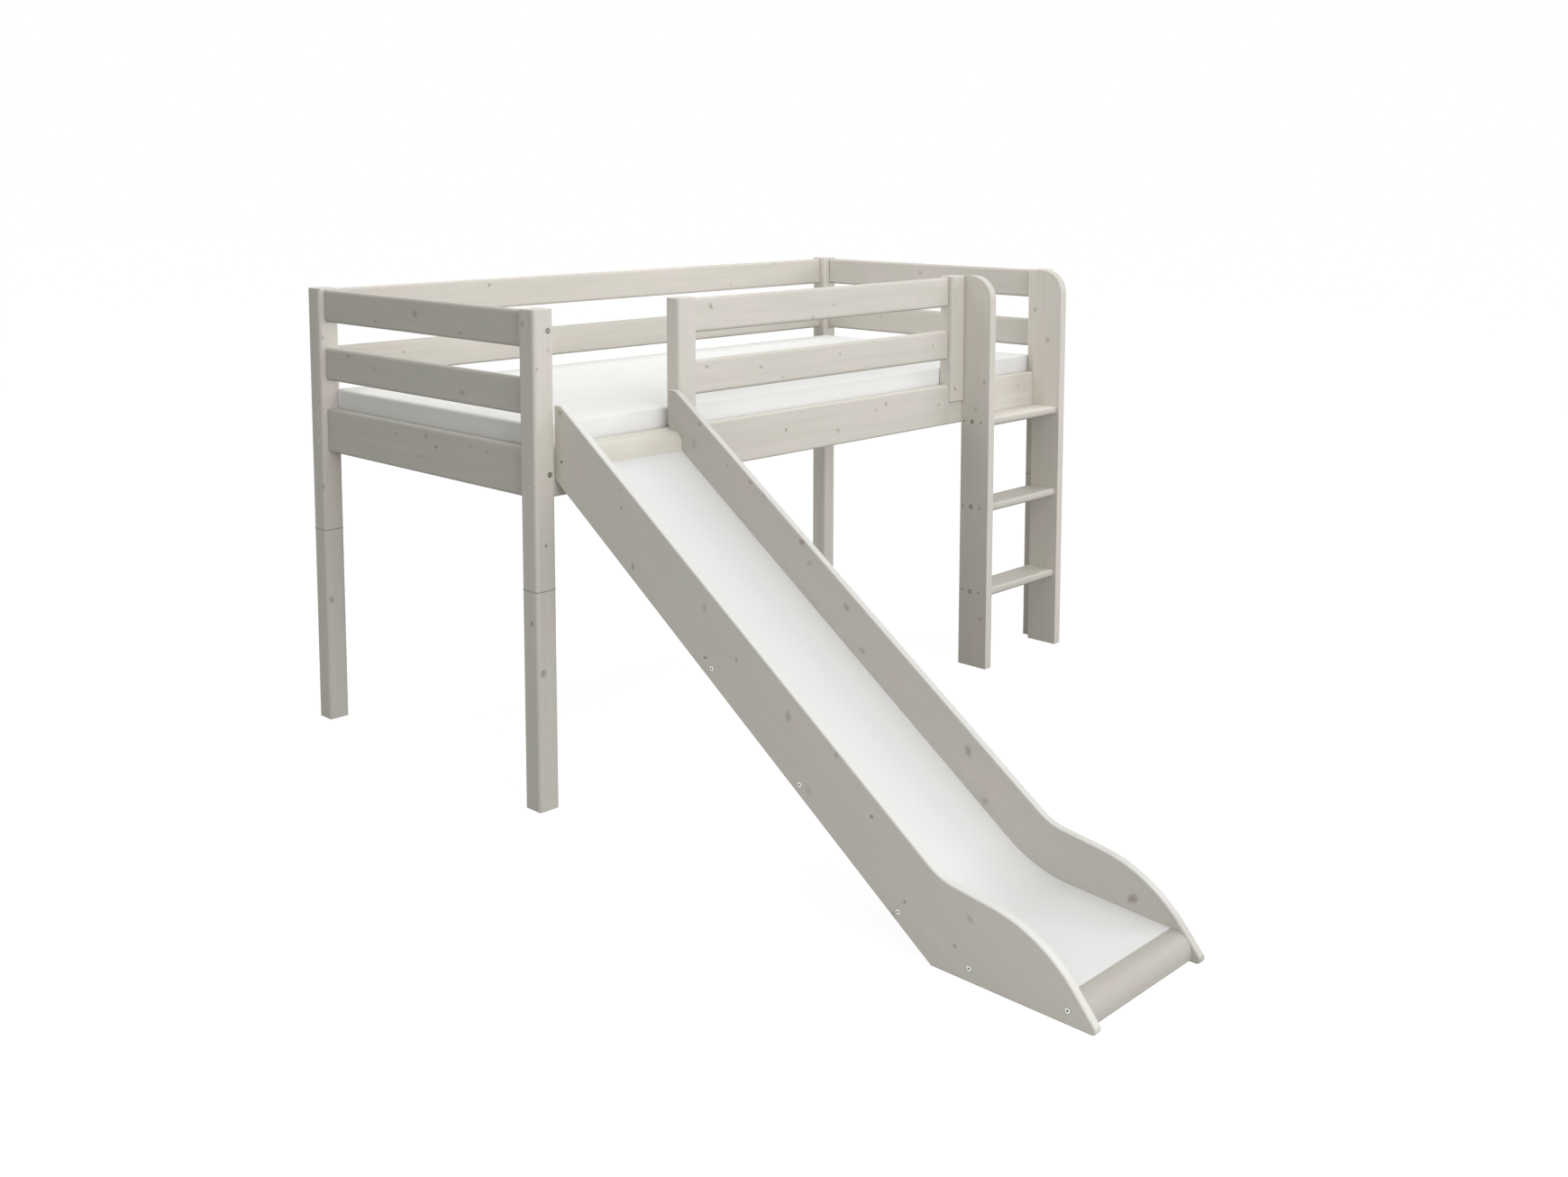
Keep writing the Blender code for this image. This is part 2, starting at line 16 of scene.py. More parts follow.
import bmesh
import bpy
from mathutils import Euler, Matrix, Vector


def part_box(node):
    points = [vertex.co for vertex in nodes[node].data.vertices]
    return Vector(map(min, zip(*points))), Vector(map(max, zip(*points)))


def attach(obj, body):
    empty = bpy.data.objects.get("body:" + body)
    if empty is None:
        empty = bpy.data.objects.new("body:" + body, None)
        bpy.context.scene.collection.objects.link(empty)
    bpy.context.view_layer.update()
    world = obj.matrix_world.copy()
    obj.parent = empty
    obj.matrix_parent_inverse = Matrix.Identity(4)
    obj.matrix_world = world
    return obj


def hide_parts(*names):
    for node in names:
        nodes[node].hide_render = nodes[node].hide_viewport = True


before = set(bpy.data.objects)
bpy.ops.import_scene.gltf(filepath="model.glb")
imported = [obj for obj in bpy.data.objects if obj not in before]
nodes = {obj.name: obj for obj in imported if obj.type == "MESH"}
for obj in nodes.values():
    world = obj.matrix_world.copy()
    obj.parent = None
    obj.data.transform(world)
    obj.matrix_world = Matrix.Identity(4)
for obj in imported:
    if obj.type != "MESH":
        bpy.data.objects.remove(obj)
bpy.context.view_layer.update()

# %% [markdown]
# ## Small helpers
#
# `hex_colour` turns a colour as it is read off a screen into the linear numbers that a shader needs.
# `add` puts one node into a tree, sets its properties, and fills or links its inputs, so that each
# material further down reads as a short list of steps.

# %% Colours and shader nodes
def hex_colour(text, tone=1.0):
    """#RRGGBB as a linear RGBA tuple, by the sRGB curve. A tone under 1 makes it darker, over 1 lighter."""
    parts = [int(text[i : i + 2], 16) / 255 for i in (1, 3, 5)]
    linear = [p / 12.92 if p <= 0.04045 else ((p + 0.055) / 1.055) ** 2.4 for p in parts]
    return (*[min(1.0, p * tone) for p in linear], 1.0)


def add(tree, kind, inputs=None, **settings):
    """One node. An input's value is a number, a colour, or another node's output socket."""
    made = tree.nodes.new(kind)
    for name, value in settings.items():
        setattr(made, name, value)
    for key, value in (inputs or {}).items():
        socket = made.inputs[key]
        if isinstance(value, bpy.types.NodeSocket):
            tree.links.new(value, socket)
        else:
            socket.default_value = value
    return made


def new_material(name):
    """A material of this name, and its node tree with nothing in it."""
    material = bpy.data.materials.new(name)
    material.use_nodes = True
    tree = material.node_tree
    tree.nodes.clear()
    return material, tree


def finish_shader(tree, values):
    """The Principled shader and the output. Values that are the same all over sit on the shader itself."""
    shader = add(tree, "ShaderNodeBsdfPrincipled", values)
    add(tree, "ShaderNodeOutputMaterial", {"Surface": shader.outputs[0]})


print("White reads as", [round(c, 2) for c in hex_colour("#FFFFFF")])

# %% [markdown]
# ## Layers of tint
#
# Wood and cloth are seldom one colour. Here a surface starts from one plain tint, and thin layers
# are laid over it: each layer is a noise pattern, the two noise values between which it fades in, how
# much it covers at most, and its colour. `streaks` makes the patterns from sizes in millimetres.

# %% Streaks and layers
def streaks(tree, grain, length_mm, width_mm, detail):
    """Noise drawn out along the grain: each streak is about this long and this wide."""
    per_metre = (1000 / length_mm, 1000 / width_mm, 1000 / width_mm)
    stretch = add(tree, "ShaderNodeVectorMath", {0: grain, 1: per_metre}, operation="MULTIPLY")
    return add(tree, "ShaderNodeTexNoise", {"Vector": stretch.outputs[0], "Scale": 1.0, "Detail": detail,
                                            "Roughness": 0.6}).outputs["Fac"]


def layered(tree, ground, layers):
    """The ground colour under all the layers, each of them (pattern, starts at, full at, cover, colour)."""
    colour = ground
    for pattern, start, full, cover, tint in layers:
        share = add(tree, "ShaderNodeMapRange", {"Value": pattern, "From Min": start, "From Max": full,
                                                 "To Max": cover}).outputs[0]
        # inputs 6 and 7 of a Mix node are its two colours, and output 2 is the mixed one
        colour = add(tree, "ShaderNodeMix", {0: share, 6: colour, 7: tint}, data_type="RGBA").outputs[2]
    return colour


print("A streak 70 mm long repeats", round(1000 / 70, 1), "times a metre")

# %% [markdown]
# ## Whitewashed pine
#
# Almost every piece is planed pine under a thin white glaze that is brushed on and wiped. The glaze
# hides most of the grain, so what the eye gets is a pale, slightly warm grey with three faint things
# in it: long streaks along the board, hand-wide clouds that lean to pink, and grey-brown knots that
# shine through. It is a satin surface, with no clear mirror image anywhere.
#
# A photographed wood texture would be quicker, but it repeats, and its knots can't be put where this
# bed has them. Here noise that is drawn out along the grain makes streaks and clouds that never
# repeat, and every knot is a soft smudge at a place of its own.
#
# The grain runs along each board, so one recipe is built several times: along X for rails, boards and
# rungs, along Y for the end boards, along Z for posts and stringers, and along the slope for the
# slide's cheeks. Each one turns the object coordinates until its own grain lies along X. Each group of
# pieces has a tone of its own, set to how light or dark it looks; the lighter left cheek and pale legs
# are painted light, and the darker right cheek and toe are painted shade. Undersides are darker, as
# painted shade, and the tops of the rungs and cheeks are palest, as painted light.

# %% Where knots show
# A row gives a knot's place on its face in metres, its radius in millimetres, and how strongly it
# shows through the glaze. Some rows also say how far the knot is drawn out and its slant in degrees.
# The others get these two by chance, from a fixed seed.
def looking_left(node, rows):
    """Knots on the face of a piece that looks to -X, with places given as (y, z)."""
    return [(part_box(node)[0][0], *row) for row in rows]


def looking_front(node, rows):
    """Knots on the face of a piece that looks to -Y, with places given as (x, z)."""
    return [(x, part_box(node)[0][1], *rest) for x, *rest in rows]


KNOTS = {
    "end_boards": looking_left("end_board_left_top", [
        (0.749, 1.152, 11, 0.50, 1.5, -30), (0.558, 1.118, 4, 0.70), (0.931, 1.121, 6, 0.30),
        (1.068, 1.019, 5, 0.50), (0.552, 0.972, 9, 0.32), (0.943, 0.996, 8, 0.25),
        (0.845, 0.836, 4, 0.60), (0.668, 0.824, 6, 0.60), (0.456, 0.836, 4, 0.55),
        (0.746, 0.792, 5, 0.45), (0.712, 0.848, 8, 0.32), (0.523, 0.841, 6, 0.25),
    ]) + looking_left("end_board_right_top", [(0.762, 1.159, 8, 0.35), (0.937, 0.996, 6, 0.30)]),
    "posts": looking_left("post_front_left", [
        (0.288, 1.160, 8, 0.35), (1.197, 0.884, 5, 0.20), (1.185, 0.652, 7, 0.45), (0.268, 0.455, 6, 0.60),
    ]) + looking_front("post_front_left", [
        (-1.031, 1.057, 4, 0.40), (-0.999, 1.098, 5, 0.30), (-1.012, 0.641, 5, 0.70),
        (-1.026, 0.337, 9, 0.60, 1.0, 0),
    ]) + looking_front("post_back_left", [(-1.031, 1.061, 5, 0.40), (-1.027, 0.337, 9, 0.45)]),
    "uprights": looking_left("ladder_stringer_left", [
        (0.177, 0.877, 6, 0.50), (0.208, 0.793, 6, 0.30), (0.180, 0.154, 5, 0.60),
    ]) + looking_left("ladder_stringer_right", [(0.256, 1.068, 6, 0.60), (0.207, 0.976, 11, 0.35)]),
    "rails": looking_front("guard_board_top", [
        (-0.459, 1.166, 8, 0.45), (0.010, 1.141, 4, 0.70), (-0.074, 1.111, 6, 0.35),
        (-0.473, 1.011, 7, 0.40), (-0.275, 0.994, 6, 0.45), (0.037, 1.002, 4, 0.60),
        (0.450, 0.992, 5, 0.40), (-0.192, 0.959, 6, 0.30),
    ]) + looking_front("side_rail_front", [
        (-0.183, 0.816, 5, 0.70), (0.025, 0.789, 9, 0.38, 1.7, 28), (0.232, 0.842, 6, 0.50),
        (0.187, 0.828, 6, 0.30), (0.475, 0.813, 7, 0.35), (0.878, 0.832, 5, 0.40),
    ]),
    "back_boards": looking_front("back_board_top", [
        (0.749, 1.182, 4, 0.50), (0.532, 1.121, 6, 0.30), (-0.465, 1.172, 6, 0.50),
        (-0.764, 0.998, 5, 0.40),
    ]),
    "left_cheek": looking_left("slide_cheek_left", [
        (0.239, 0.950, 6, 0.40), (0.026, 0.797, 6, 0.16), (-0.246, 0.581, 10, 0.32, 1.6, -45),
        (0.075, 0.752, 3, 0.40), (0.022, 0.757, 4, 0.60, 1.3, 0), (-0.014, 0.631, 7, 0.60, 1.8, -45),
        (-0.627, 0.353, 6, 0.45, 1.5, -45), (-0.777, 0.073, 4, 0.50), (-0.249, 0.472, 5, 0.70),
        (-0.343, 0.488, 4, 0.60), (-0.494, 0.401, 12, 0.32, 1.5, -45), (-0.720, 0.253, 5, 0.70),
        (-0.806, 0.107, 4, 0.60), (-0.962, 0.125, 8, 0.30), (-0.928, 0.060, 4, 0.50),
        (-0.552, 0.259, 10, 0.20),
    ]),
    "right_cheek": looking_left("slide_cheek_right", [
        (0.147, 0.893, 5, 0.50), (0.168, 0.842, 11, 0.30, 1.7, -45), (0.053, 0.804, 4, 0.50),
        (-0.195, 0.656, 9, 0.50), (-0.218, 0.609, 8, 0.32), (-0.070, 0.746, 4, 0.35),
        (-0.026, 0.773, 5, 0.45), (-0.333, 0.527, 9, 0.42), (-0.383, 0.437, 9, 0.32),
        (-0.681, 0.280, 12, 0.42), (-0.727, 0.182, 9, 0.32), (-1.088, 0.085, 12, 0.50),
    ]),
}
print("Knots:", {group: len(rows) for group, rows in KNOTS.items()})

# %% How a knot is drawn
# For a knot's body and for its darker heart: how many radii out it begins, where it is full, and how
# much it covers. The wobble bends a knot by a share of its radius, so that it isn't a clean ellipse.
KNOT_BODY, KNOT_HEART = (1.35, 0.55, 0.85), (0.7, 0.1, 0.30)
KNOT_BEND_SHARE = 1.2
KNOT_TINT = "#7E7765"


def one_knot(tree, grain, bend, centre, radius, strength, long, slant):
    """A soft smudge with a darker heart: a branch that the saw has cut at a slant, under the glaze."""
    size = (radius * long / 1000, radius / long / 1000, radius / long / 1000)
    lean = math.radians(slant)
    bent = add(tree, "ShaderNodeVectorMath", {0: bend, 1: (KNOT_BEND_SHARE * radius / 1000,) * 3, 2: grain},
               operation="MULTIPLY_ADD").outputs[0]
    away = add(tree, "ShaderNodeMapping", {"Vector": bent, "Location": centre, "Scale": size,
                                           "Rotation": (0, lean, lean)}, vector_type="TEXTURE").outputs[0]
    far = add(tree, "ShaderNodeVectorMath", {0: away}, operation="LENGTH").outputs["Value"]
    parts = [add(tree, "ShaderNodeMapRange", {"Value": far, "From Min": start, "From Max": full,
                                              "To Min": 0.0, "To Max": strength * share},
                 interpolation_type="SMOOTHSTEP").outputs[0]
             for start, full, share in (KNOT_BODY, KNOT_HEART)]
    return add(tree, "ShaderNodeMath", {0: parts[0], 1: parts[1]}, operation="ADD").outputs[0]


print("A knot reads", round(KNOT_BODY[2] + KNOT_HEART[2], 2), "of its strength at the heart")

# %% Stray knots on the sides that the photograph doesn't show
STRAY_CELLS_PER_METRE = (2.6, 9.0, 9.0)
STRAY_EDGE, STRAY_HEART, STRAY_STRENGTH = 0.075, 0.02, 0.5
HIDDEN_WAY, HIDDEN_FROM = (0.7, 0.7, 0.0), 0.3


def stray_knots(tree, grain, seed):
    """A few knots at random, one in a cell at most, on the sides that face +X and +Y."""
    cells = add(tree, "ShaderNodeVectorMath", {0: grain, 1: STRAY_CELLS_PER_METRE, 2: (seed,) * 3},
                operation="MULTIPLY_ADD").outputs[0]
    spots = add(tree, "ShaderNodeTexVoronoi", {"Vector": cells, "Scale": 1.0}).outputs["Distance"]
    core = add(tree, "ShaderNodeMapRange", {"Value": spots, "From Min": STRAY_EDGE, "From Max": STRAY_HEART,
                                            "To Min": 0.0, "To Max": STRAY_STRENGTH},
               interpolation_type="SMOOTHSTEP").outputs[0]
    normal = add(tree, "ShaderNodeNewGeometry").outputs["True Normal"]
    hidden = add(tree, "ShaderNodeVectorMath", {0: normal, 1: HIDDEN_WAY},
                 operation="DOT_PRODUCT").outputs["Value"]
    side = add(tree, "ShaderNodeMath", {0: hidden, 1: HIDDEN_FROM}, operation="GREATER_THAN").outputs[0]
    return add(tree, "ShaderNodeMath", {0: core, 1: side}, operation="MULTIPLY").outputs[0]


print("Stray knots lie about", [round(1000 / each) for each in STRAY_CELLS_PER_METRE], "mm apart")

# %% Which way the wood looks: undersides darker as painted shade, tops lighter as painted light
DOWN, UP = (0, 0, -1), (0, 0, 1)
UNDERSIDE_PAINTED_SHADE = "#8C8678"


def facing(tree, way):
    """1 where the wood faces straight this way, 0 where it faces at a right angle to it."""
    normal = add(tree, "ShaderNodeNewGeometry").outputs["Normal"]
    return add(tree, "ShaderNodeVectorMath", {0: normal, 1: way}, operation="DOT_PRODUCT").outputs["Value"]


print("Undersides are drawn towards", [round(c, 2) for c in hex_colour(UNDERSIDE_PAINTED_SHADE)[:3]])

# %% The line where a leg butts against its post: raw arrises that the glaze didn't reach
SEAM_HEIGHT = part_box("post_front_left")[0][2]
SEAM_HALF_WIDTH, SEAM_COVER = 0.0016, 0.4


def joint_line(tree, place, height):
    """1 within half the line's width of this height, 0 elsewhere."""
    up = add(tree, "ShaderNodeSeparateXYZ", {0: place}).outputs["Z"]
    return add(tree, "ShaderNodeMath", {0: up, 1: height, 2: SEAM_HALF_WIDTH},
               operation="COMPARE").outputs[0]


print("The legs meet the posts at", round(SEAM_HEIGHT, 4), "m")

# %% The pine recipe
WOBBLE_PER_METRE = 110.0
LONG_BY_CHANCE, SLANT_BY_CHANCE = (1.1, 1.4), (-50, 50)


def pine(name, turn_degrees, rows, seed, tone=1.0, figure=1.0, seam=None, knot_tint=KNOT_TINT,
         top_light_cover=0.0, top_light_tint="#E5E5E3"):
    """Pine under white glaze, its grain turned to run along the piece.

    The tone makes it darker or lighter, the figure says how much grain shows, the seam is the height
    of a joint line, and the top cover and tint give what looks up a lighter tone, as painted light.
    """
    material, tree = new_material(name)
    turn = Euler([math.radians(d) for d in turn_degrees])
    place = add(tree, "ShaderNodeTexCoord").outputs["Object"]
    grain = add(tree, "ShaderNodeMapping", {"Vector": place, "Rotation": turn}).outputs[0]
    wobble = add(tree, "ShaderNodeTexNoise", {"Vector": grain, "Scale": WOBBLE_PER_METRE, "Detail": 2.0})
    bend = add(tree, "ShaderNodeVectorMath", {0: wobble.outputs["Color"], 1: (0.5, 0.5, 0.5)},
               operation="SUBTRACT").outputs[0]
    knots = stray_knots(tree, grain, seed)
    luck = Random(seed)
    for x, y, z, radius, strength, *lie in rows:
        lie = lie or (luck.uniform(*LONG_BY_CHANCE), luck.uniform(*SLANT_BY_CHANCE))
        shown = one_knot(tree, grain, bend, turn.to_matrix() @ Vector((x, y, z)), radius, strength, *lie)
        knots = add(tree, "ShaderNodeMath", {0: knots, 1: shown}, operation="MAXIMUM").outputs[0]
    pores = streaks(tree, grain, 70, 2.2, 3)
    layers = [
        # two sizes of cloud where the glaze leans to pink, then growth rings and pores, both greyer
        (streaks(tree, grain, 190, 60, 1), 0.35, 0.65, 1.0, hex_colour("#DCD5CF", tone)),
        (streaks(tree, grain, 110, 38, 1), 0.60, 0.80, 0.55 * figure, hex_colour("#DDCFC9", tone)),
        (streaks(tree, grain, 420, 17, 2), 0.40, 0.72, 0.42 * figure, hex_colour("#CBC7BD", tone)),
        (pores, 0.56, 0.80, 0.34 * figure, hex_colour("#C2BDB1", tone)),
        (knots, 0.0, 1.0, 1.0, hex_colour(knot_tint, tone)),
        # painted shade: what looks down is drawn darker
        (facing(tree, DOWN), 0.15, 0.75, 0.5, hex_colour(UNDERSIDE_PAINTED_SHADE, tone)),
        # painted light: what looks up is drawn lighter
        (facing(tree, UP), 0.55, 0.80, top_light_cover, hex_colour(top_light_tint)),
    ]
    if seam:
        layers.append((joint_line(tree, place, seam), 0.0, 1.0, SEAM_COVER, hex_colour(KNOT_TINT)))
    colour = layered(tree, hex_colour("#D7D5CC", tone), layers)
    # the glaze is satin, and a little rougher and lower over the pores
    rough = add(tree, "ShaderNodeMapRange", {"Value": pores, "To Min": 0.46, "To Max": 0.58}).outputs[0]
    relief = add(tree, "ShaderNodeBump", {"Height": pores, "Strength": 0.12 * figure, "Distance": 0.0004})
    finish_shader(tree, {"Base Color": colour, "Roughness": rough, "Specular IOR Level": 0.35,
                         "Normal": relief.outputs[0]})
    return material


print("A knot's outline wobbles every", round(1000 / WOBBLE_PER_METRE), "mm")

# %% Pine for each group of pieces: its grain, its knots, a seed, its tone and how much grain shows
SLIDE_PITCH_DEGREES = 34.9
ALONG_X, ALONG_Y, ALONG_Z = (0, 0, 0), (0, 0, -90), (0, 90, 0)
DOWN_SLOPE = (-SLIDE_PITCH_DEGREES, 0, -90)
PINE = {
    "rails": pine("whitewashed_pine_along_x", ALONG_X, KNOTS["rails"], 1.3),
    # painted light: the rungs' tops come out lighter than their fronts
    "rungs": pine("whitewashed_pine_rung", ALONG_X, [], 1.3, 0.87, top_light_cover=1.0, top_light_tint="#E3DED6"),
    "back_boards": pine("whitewashed_pine_back_board", ALONG_X, KNOTS["back_boards"], 1.3, 0.94),
    "end_boards": pine("whitewashed_pine_along_y", ALONG_Y, KNOTS["end_boards"], 4.1, 0.89, 0.8),
    "uprights": pine("whitewashed_pine_upright", ALONG_Z, KNOTS["uprights"], 7.7, figure=0.8),
    "posts": pine("whitewashed_pine_post", ALONG_Z, KNOTS["posts"], 7.7, 0.98, 0.8, seam=SEAM_HEIGHT),
    # painted light: a lighter tone for the legs and the post that stand in shade
    "painted_light_leg": pine("whitewashed_pine_pale_leg", ALONG_Z, [], 7.7, 1.15, 0.8, seam=SEAM_HEIGHT),
    # painted light: the left cheek has a lighter tone and a pale top; painted shade: the right cheek and
    # the toe have darker tones, though the right cheek's top is lightened too
    "left_cheek": pine("whitewashed_pine_left_cheek", DOWN_SLOPE, KNOTS["left_cheek"], 2.9, 1.05, 0.45,
                       top_light_cover=1.0),
    "right_cheek": pine("whitewashed_pine_right_cheek", DOWN_SLOPE, KNOTS["right_cheek"], 6.3, 0.76, 0.45,
                        knot_tint="#8E7167", top_light_cover=0.7),
    "toe": pine("whitewashed_pine_toe", ALONG_X, [], 9.2, 0.72),
}
print("Pine materials:", len(PINE))

# %% [markdown]
# ## The other surfaces
#
# * The sliding board is board with a smooth melamine laminate. It gives the eye plain white with a
#   soft sheen; the only texture is a hint of orange peel in the gloss.
# * The slats are bare planed spruce, the only warm wood on the bed, seen from below.
# * The mattress cover is white cotton, woven at about half a millimetre, which shows as softness only.
# * Screw heads are pressed steel with bright zinc, each on a dark disc that is painted shade in its
#   countersink. Bolts are plain steel, sunk into bored holes that look dark: a disc whose colour is
#   partly the raw wood of the hole and partly painted shade. Dowels show their end grain, which drinks
#   the glaze and stays darker than the boards.
#
# Each could do with one plain colour and one roughness. A faint pattern of the right size is added
# because it breaks up the reflection, which is how the eye tells melamine from paint or steel.

# %% Laminate: pressed melamine on the sliding board
ORANGE_PEEL_PER_METRE, HAZE_PER_METRE = 320.0, 6.0


def laminate():
    """White melamine: dimples of about 3 mm in the gloss, and a haze as wide as a hand in its sheen."""
    material, tree = new_material("white_melamine_laminate")
    place = add(tree, "ShaderNodeTexCoord").outputs["Object"]
    peel = add(tree, "ShaderNodeTexNoise", {"Vector": place, "Scale": ORANGE_PEEL_PER_METRE, "Detail": 1.0})
    haze = add(tree, "ShaderNodeTexNoise", {"Vector": place, "Scale": HAZE_PER_METRE, "Detail": 2.0})
    rough = add(tree, "ShaderNodeMapRange", {"Value": haze.outputs["Fac"], "To Min": 0.30, "To Max": 0.40})
    relief = add(tree, "ShaderNodeBump", {"Height": peel.outputs["Fac"], "Strength": 0.05,
                                          "Distance": 0.0003})
    finish_shader(tree, {"Base Color": hex_colour("#E9E9EA"), "Roughness": rough.outputs[0],
                         "Specular IOR Level": 0.4, "Normal": relief.outputs[0]})
    return material


LAMINATE = laminate()
print("Made", LAMINATE.name, "with dimples of", round(1000 / ORANGE_PEEL_PER_METRE), "mm")

# %% Spruce: planed and left bare, so its growth rings show as warm bands
def spruce():
    """Bare spruce, its grain along Y as the slats lie, with rings of 6 mm and fine darker fibres."""
    material, tree = new_material("planed_spruce")
    place = add(tree, "ShaderNodeTexCoord").outputs["Object"]
    turn = [math.radians(d) for d in ALONG_Y]
    grain = add(tree, "ShaderNodeMapping", {"Vector": place, "Rotation": turn}).outputs[0]
    fine = streaks(tree, grain, 60, 1.5, 2)
    colour = layered(tree, hex_colour("#E3CDA4"), [
        (streaks(tree, grain, 500, 6, 2), 0.35, 0.70, 1.0, hex_colour("#CFAE7C")),
        (fine, 0.50, 0.80, 0.4, hex_colour("#B98F5C")),
    ])
    relief = add(tree, "ShaderNodeBump", {"Height": fine, "Strength": 0.2, "Distance": 0.0004})
    finish_shader(tree, {"Base Color": colour, "Roughness": 0.62, "Specular IOR Level": 0.3,
                         "Normal": relief.outputs[0]})
    return material


SPRUCE = spruce()
print("Made", SPRUCE.name)

# %% Cotton: a plain weave, matt, with the least bit of fuzz at its edges
THREADS_PER_METRE = 2000
WAVES_PER_UNIT = THREADS_PER_METRE / (2 * math.pi)
SOFT_PER_METRE = 5.0


def cotton():
    """White cotton: two crossing rows of threads, and broad faint darker clouds, painted shade of rumples.
    """
    material, tree = new_material("woven_white_cotton")
    place = add(tree, "ShaderNodeTexCoord").outputs["Object"]
    threads = [add(tree, "ShaderNodeTexWave", {"Vector": place, "Scale": WAVES_PER_UNIT, "Distortion": 0.6,
                                               "Detail": 1.0},
                   wave_type="BANDS", bands_direction=axis).outputs["Fac"] for axis in ("X", "Y")]
    weave = add(tree, "ShaderNodeMath", {0: threads[0], 1: threads[1]}, operation="MAXIMUM").outputs[0]
    soft = add(tree, "ShaderNodeTexNoise", {"Vector": place, "Scale": SOFT_PER_METRE, "Detail": 3.0})
    colour = layered(tree, hex_colour("#F4F4F4"), [
        # painted shade: faint darker clouds for rumples in the cover
        (soft.outputs["Fac"], 0.40, 0.70, 0.3, hex_colour("#EDEEEE")),
        (weave, 1.0, 0.0, 0.10, hex_colour("#DBDCDC")),
    ])
    relief = add(tree, "ShaderNodeBump", {"Height": weave, "Strength": 0.15, "Distance": 0.0003})
    finish_shader(tree, {"Base Color": colour, "Roughness": 0.9, "Specular IOR Level": 0.1,
                         "Sheen Weight": 0.08, "Sheen Roughness": 0.5, "Normal": relief.outputs[0]})
    return material


COTTON = cotton()
print("Made", COTTON.name, "with a thread every", 1000 / THREADS_PER_METRE, "mm")

# %% Dowel ends, bored holes and countersinks: raw end grain, matt and darker than the glazed boards; the holes and countersinks are darker still as painted shade
END_PORES_PER_METRE = 1500.0


def end_grain(name, light, dark):
    """Wood cut across, with a pore every two thirds of a millimetre."""
    material, tree = new_material(name)
    place = add(tree, "ShaderNodeTexCoord").outputs["Object"]
    pores = add(tree, "ShaderNodeTexNoise", {"Vector": place, "Scale": END_PORES_PER_METRE, "Detail": 2.0})
    colour = layered(tree, hex_colour(light), [(pores.outputs["Fac"], 0.0, 1.0, 1.0, hex_colour(dark))])
    finish_shader(tree, {"Base Color": colour, "Roughness": 0.7, "Specular IOR Level": 0.2})
    return material


DOWEL = end_grain("beech_end_grain", "#B4AD9E", "#958D7E")
# the bored holes' colour is partly their raw wall and partly painted shade of the hole; the rail pins share
# it as their own dark colour
BORED = end_grain("bored_hole_wall_and_shade", "#878073", "#6E685D")
# painted shade: the countersinks' dark rings and centres stand for the shade in the recess
COUNTERSINK_SHADE = end_grain("countersink_painted_shade", "#6F695E", "#57524A")
print("End grain:", DOWEL.name, BORED.name, COUNTERSINK_SHADE.name)

# %% Metal: pressed or turned, with a roughness that wanders a little
WEAR_PER_METRE = 900.0
SMOOTHER, ROUGHER = 0.08, 0.1


def plain_metal(name, colour, roughness):
    """Steel whose gloss wanders over patches of about a millimetre, as handled screws have it."""
    material, tree = new_material(name)
    place = add(tree, "ShaderNodeTexCoord").outputs["Object"]
    wear = add(tree, "ShaderNodeTexNoise", {"Vector": place, "Scale": WEAR_PER_METRE, "Detail": 2.0})
    rough = add(tree, "ShaderNodeMapRange", {"Value": wear.outputs["Fac"], "To Min": roughness - SMOOTHER,
                                             "To Max": roughness + ROUGHER})
    finish_shader(tree, {"Base Color": hex_colour(colour), "Roughness": rough.outputs[0], "Metallic": 1.0})
    return material


ZINC = plain_metal("zinc_plated_steel", "#DCDCDA", 0.34)
GLAZED_ZINC = plain_metal("zinc_plated_steel_under_glaze", "#B9B9B5", 0.42)
STEEL = plain_metal("plain_turned_steel", "#9B9995", 0.45)
print("Metals:", ZINC.name, GLAZED_ZINC.name, STEEL.name)

# %% [markdown]
# ## Dressing the solids
#
# Each solid keeps its shape and gets the material that belongs to it. Every piece could be dressed by
# its own line, but the pieces are named for what they are, so the start of a name is enough to choose
# by. The first start that fits is taken, so the exceptions stand first.

# %% Materials on the CAD nodes
FINISHES = {
    # these legs and this post get the lighter pine, as painted light
    "post_front_right": PINE["painted_light_leg"], "leg_front_right": PINE["painted_light_leg"],
    "leg_back_right": PINE["painted_light_leg"],
    "post_": PINE["posts"], "leg_dowel": DOWEL, "leg_": PINE["posts"],
    "guard_post": PINE["uprights"], "ladder_stringer": PINE["uprights"],
    "end_board": PINE["end_boards"], "back_board": PINE["back_boards"],
    "side_rail": PINE["rails"], "guard_board": PINE["rails"], "slat_ledger": PINE["rails"],
    "ladder_rung": PINE["rungs"], "slide_entry": PINE["rails"], "slide_batten": PINE["rails"],
    "slide_toe": PINE["toe"],
    "slide_cheek_left": PINE["left_cheek"], "slide_cheek_right": PINE["right_cheek"],
    "slide_board": LAMINATE, "bed_slat": SPRUCE, "mattress": COTTON,
}
for name, node in nodes.items():
    material = next(finish for start, finish in FINISHES.items() if name.startswith(start))
    node.data.materials.clear()
    node.data.materials.append(material)
print("Dressed", len(nodes), "nodes")

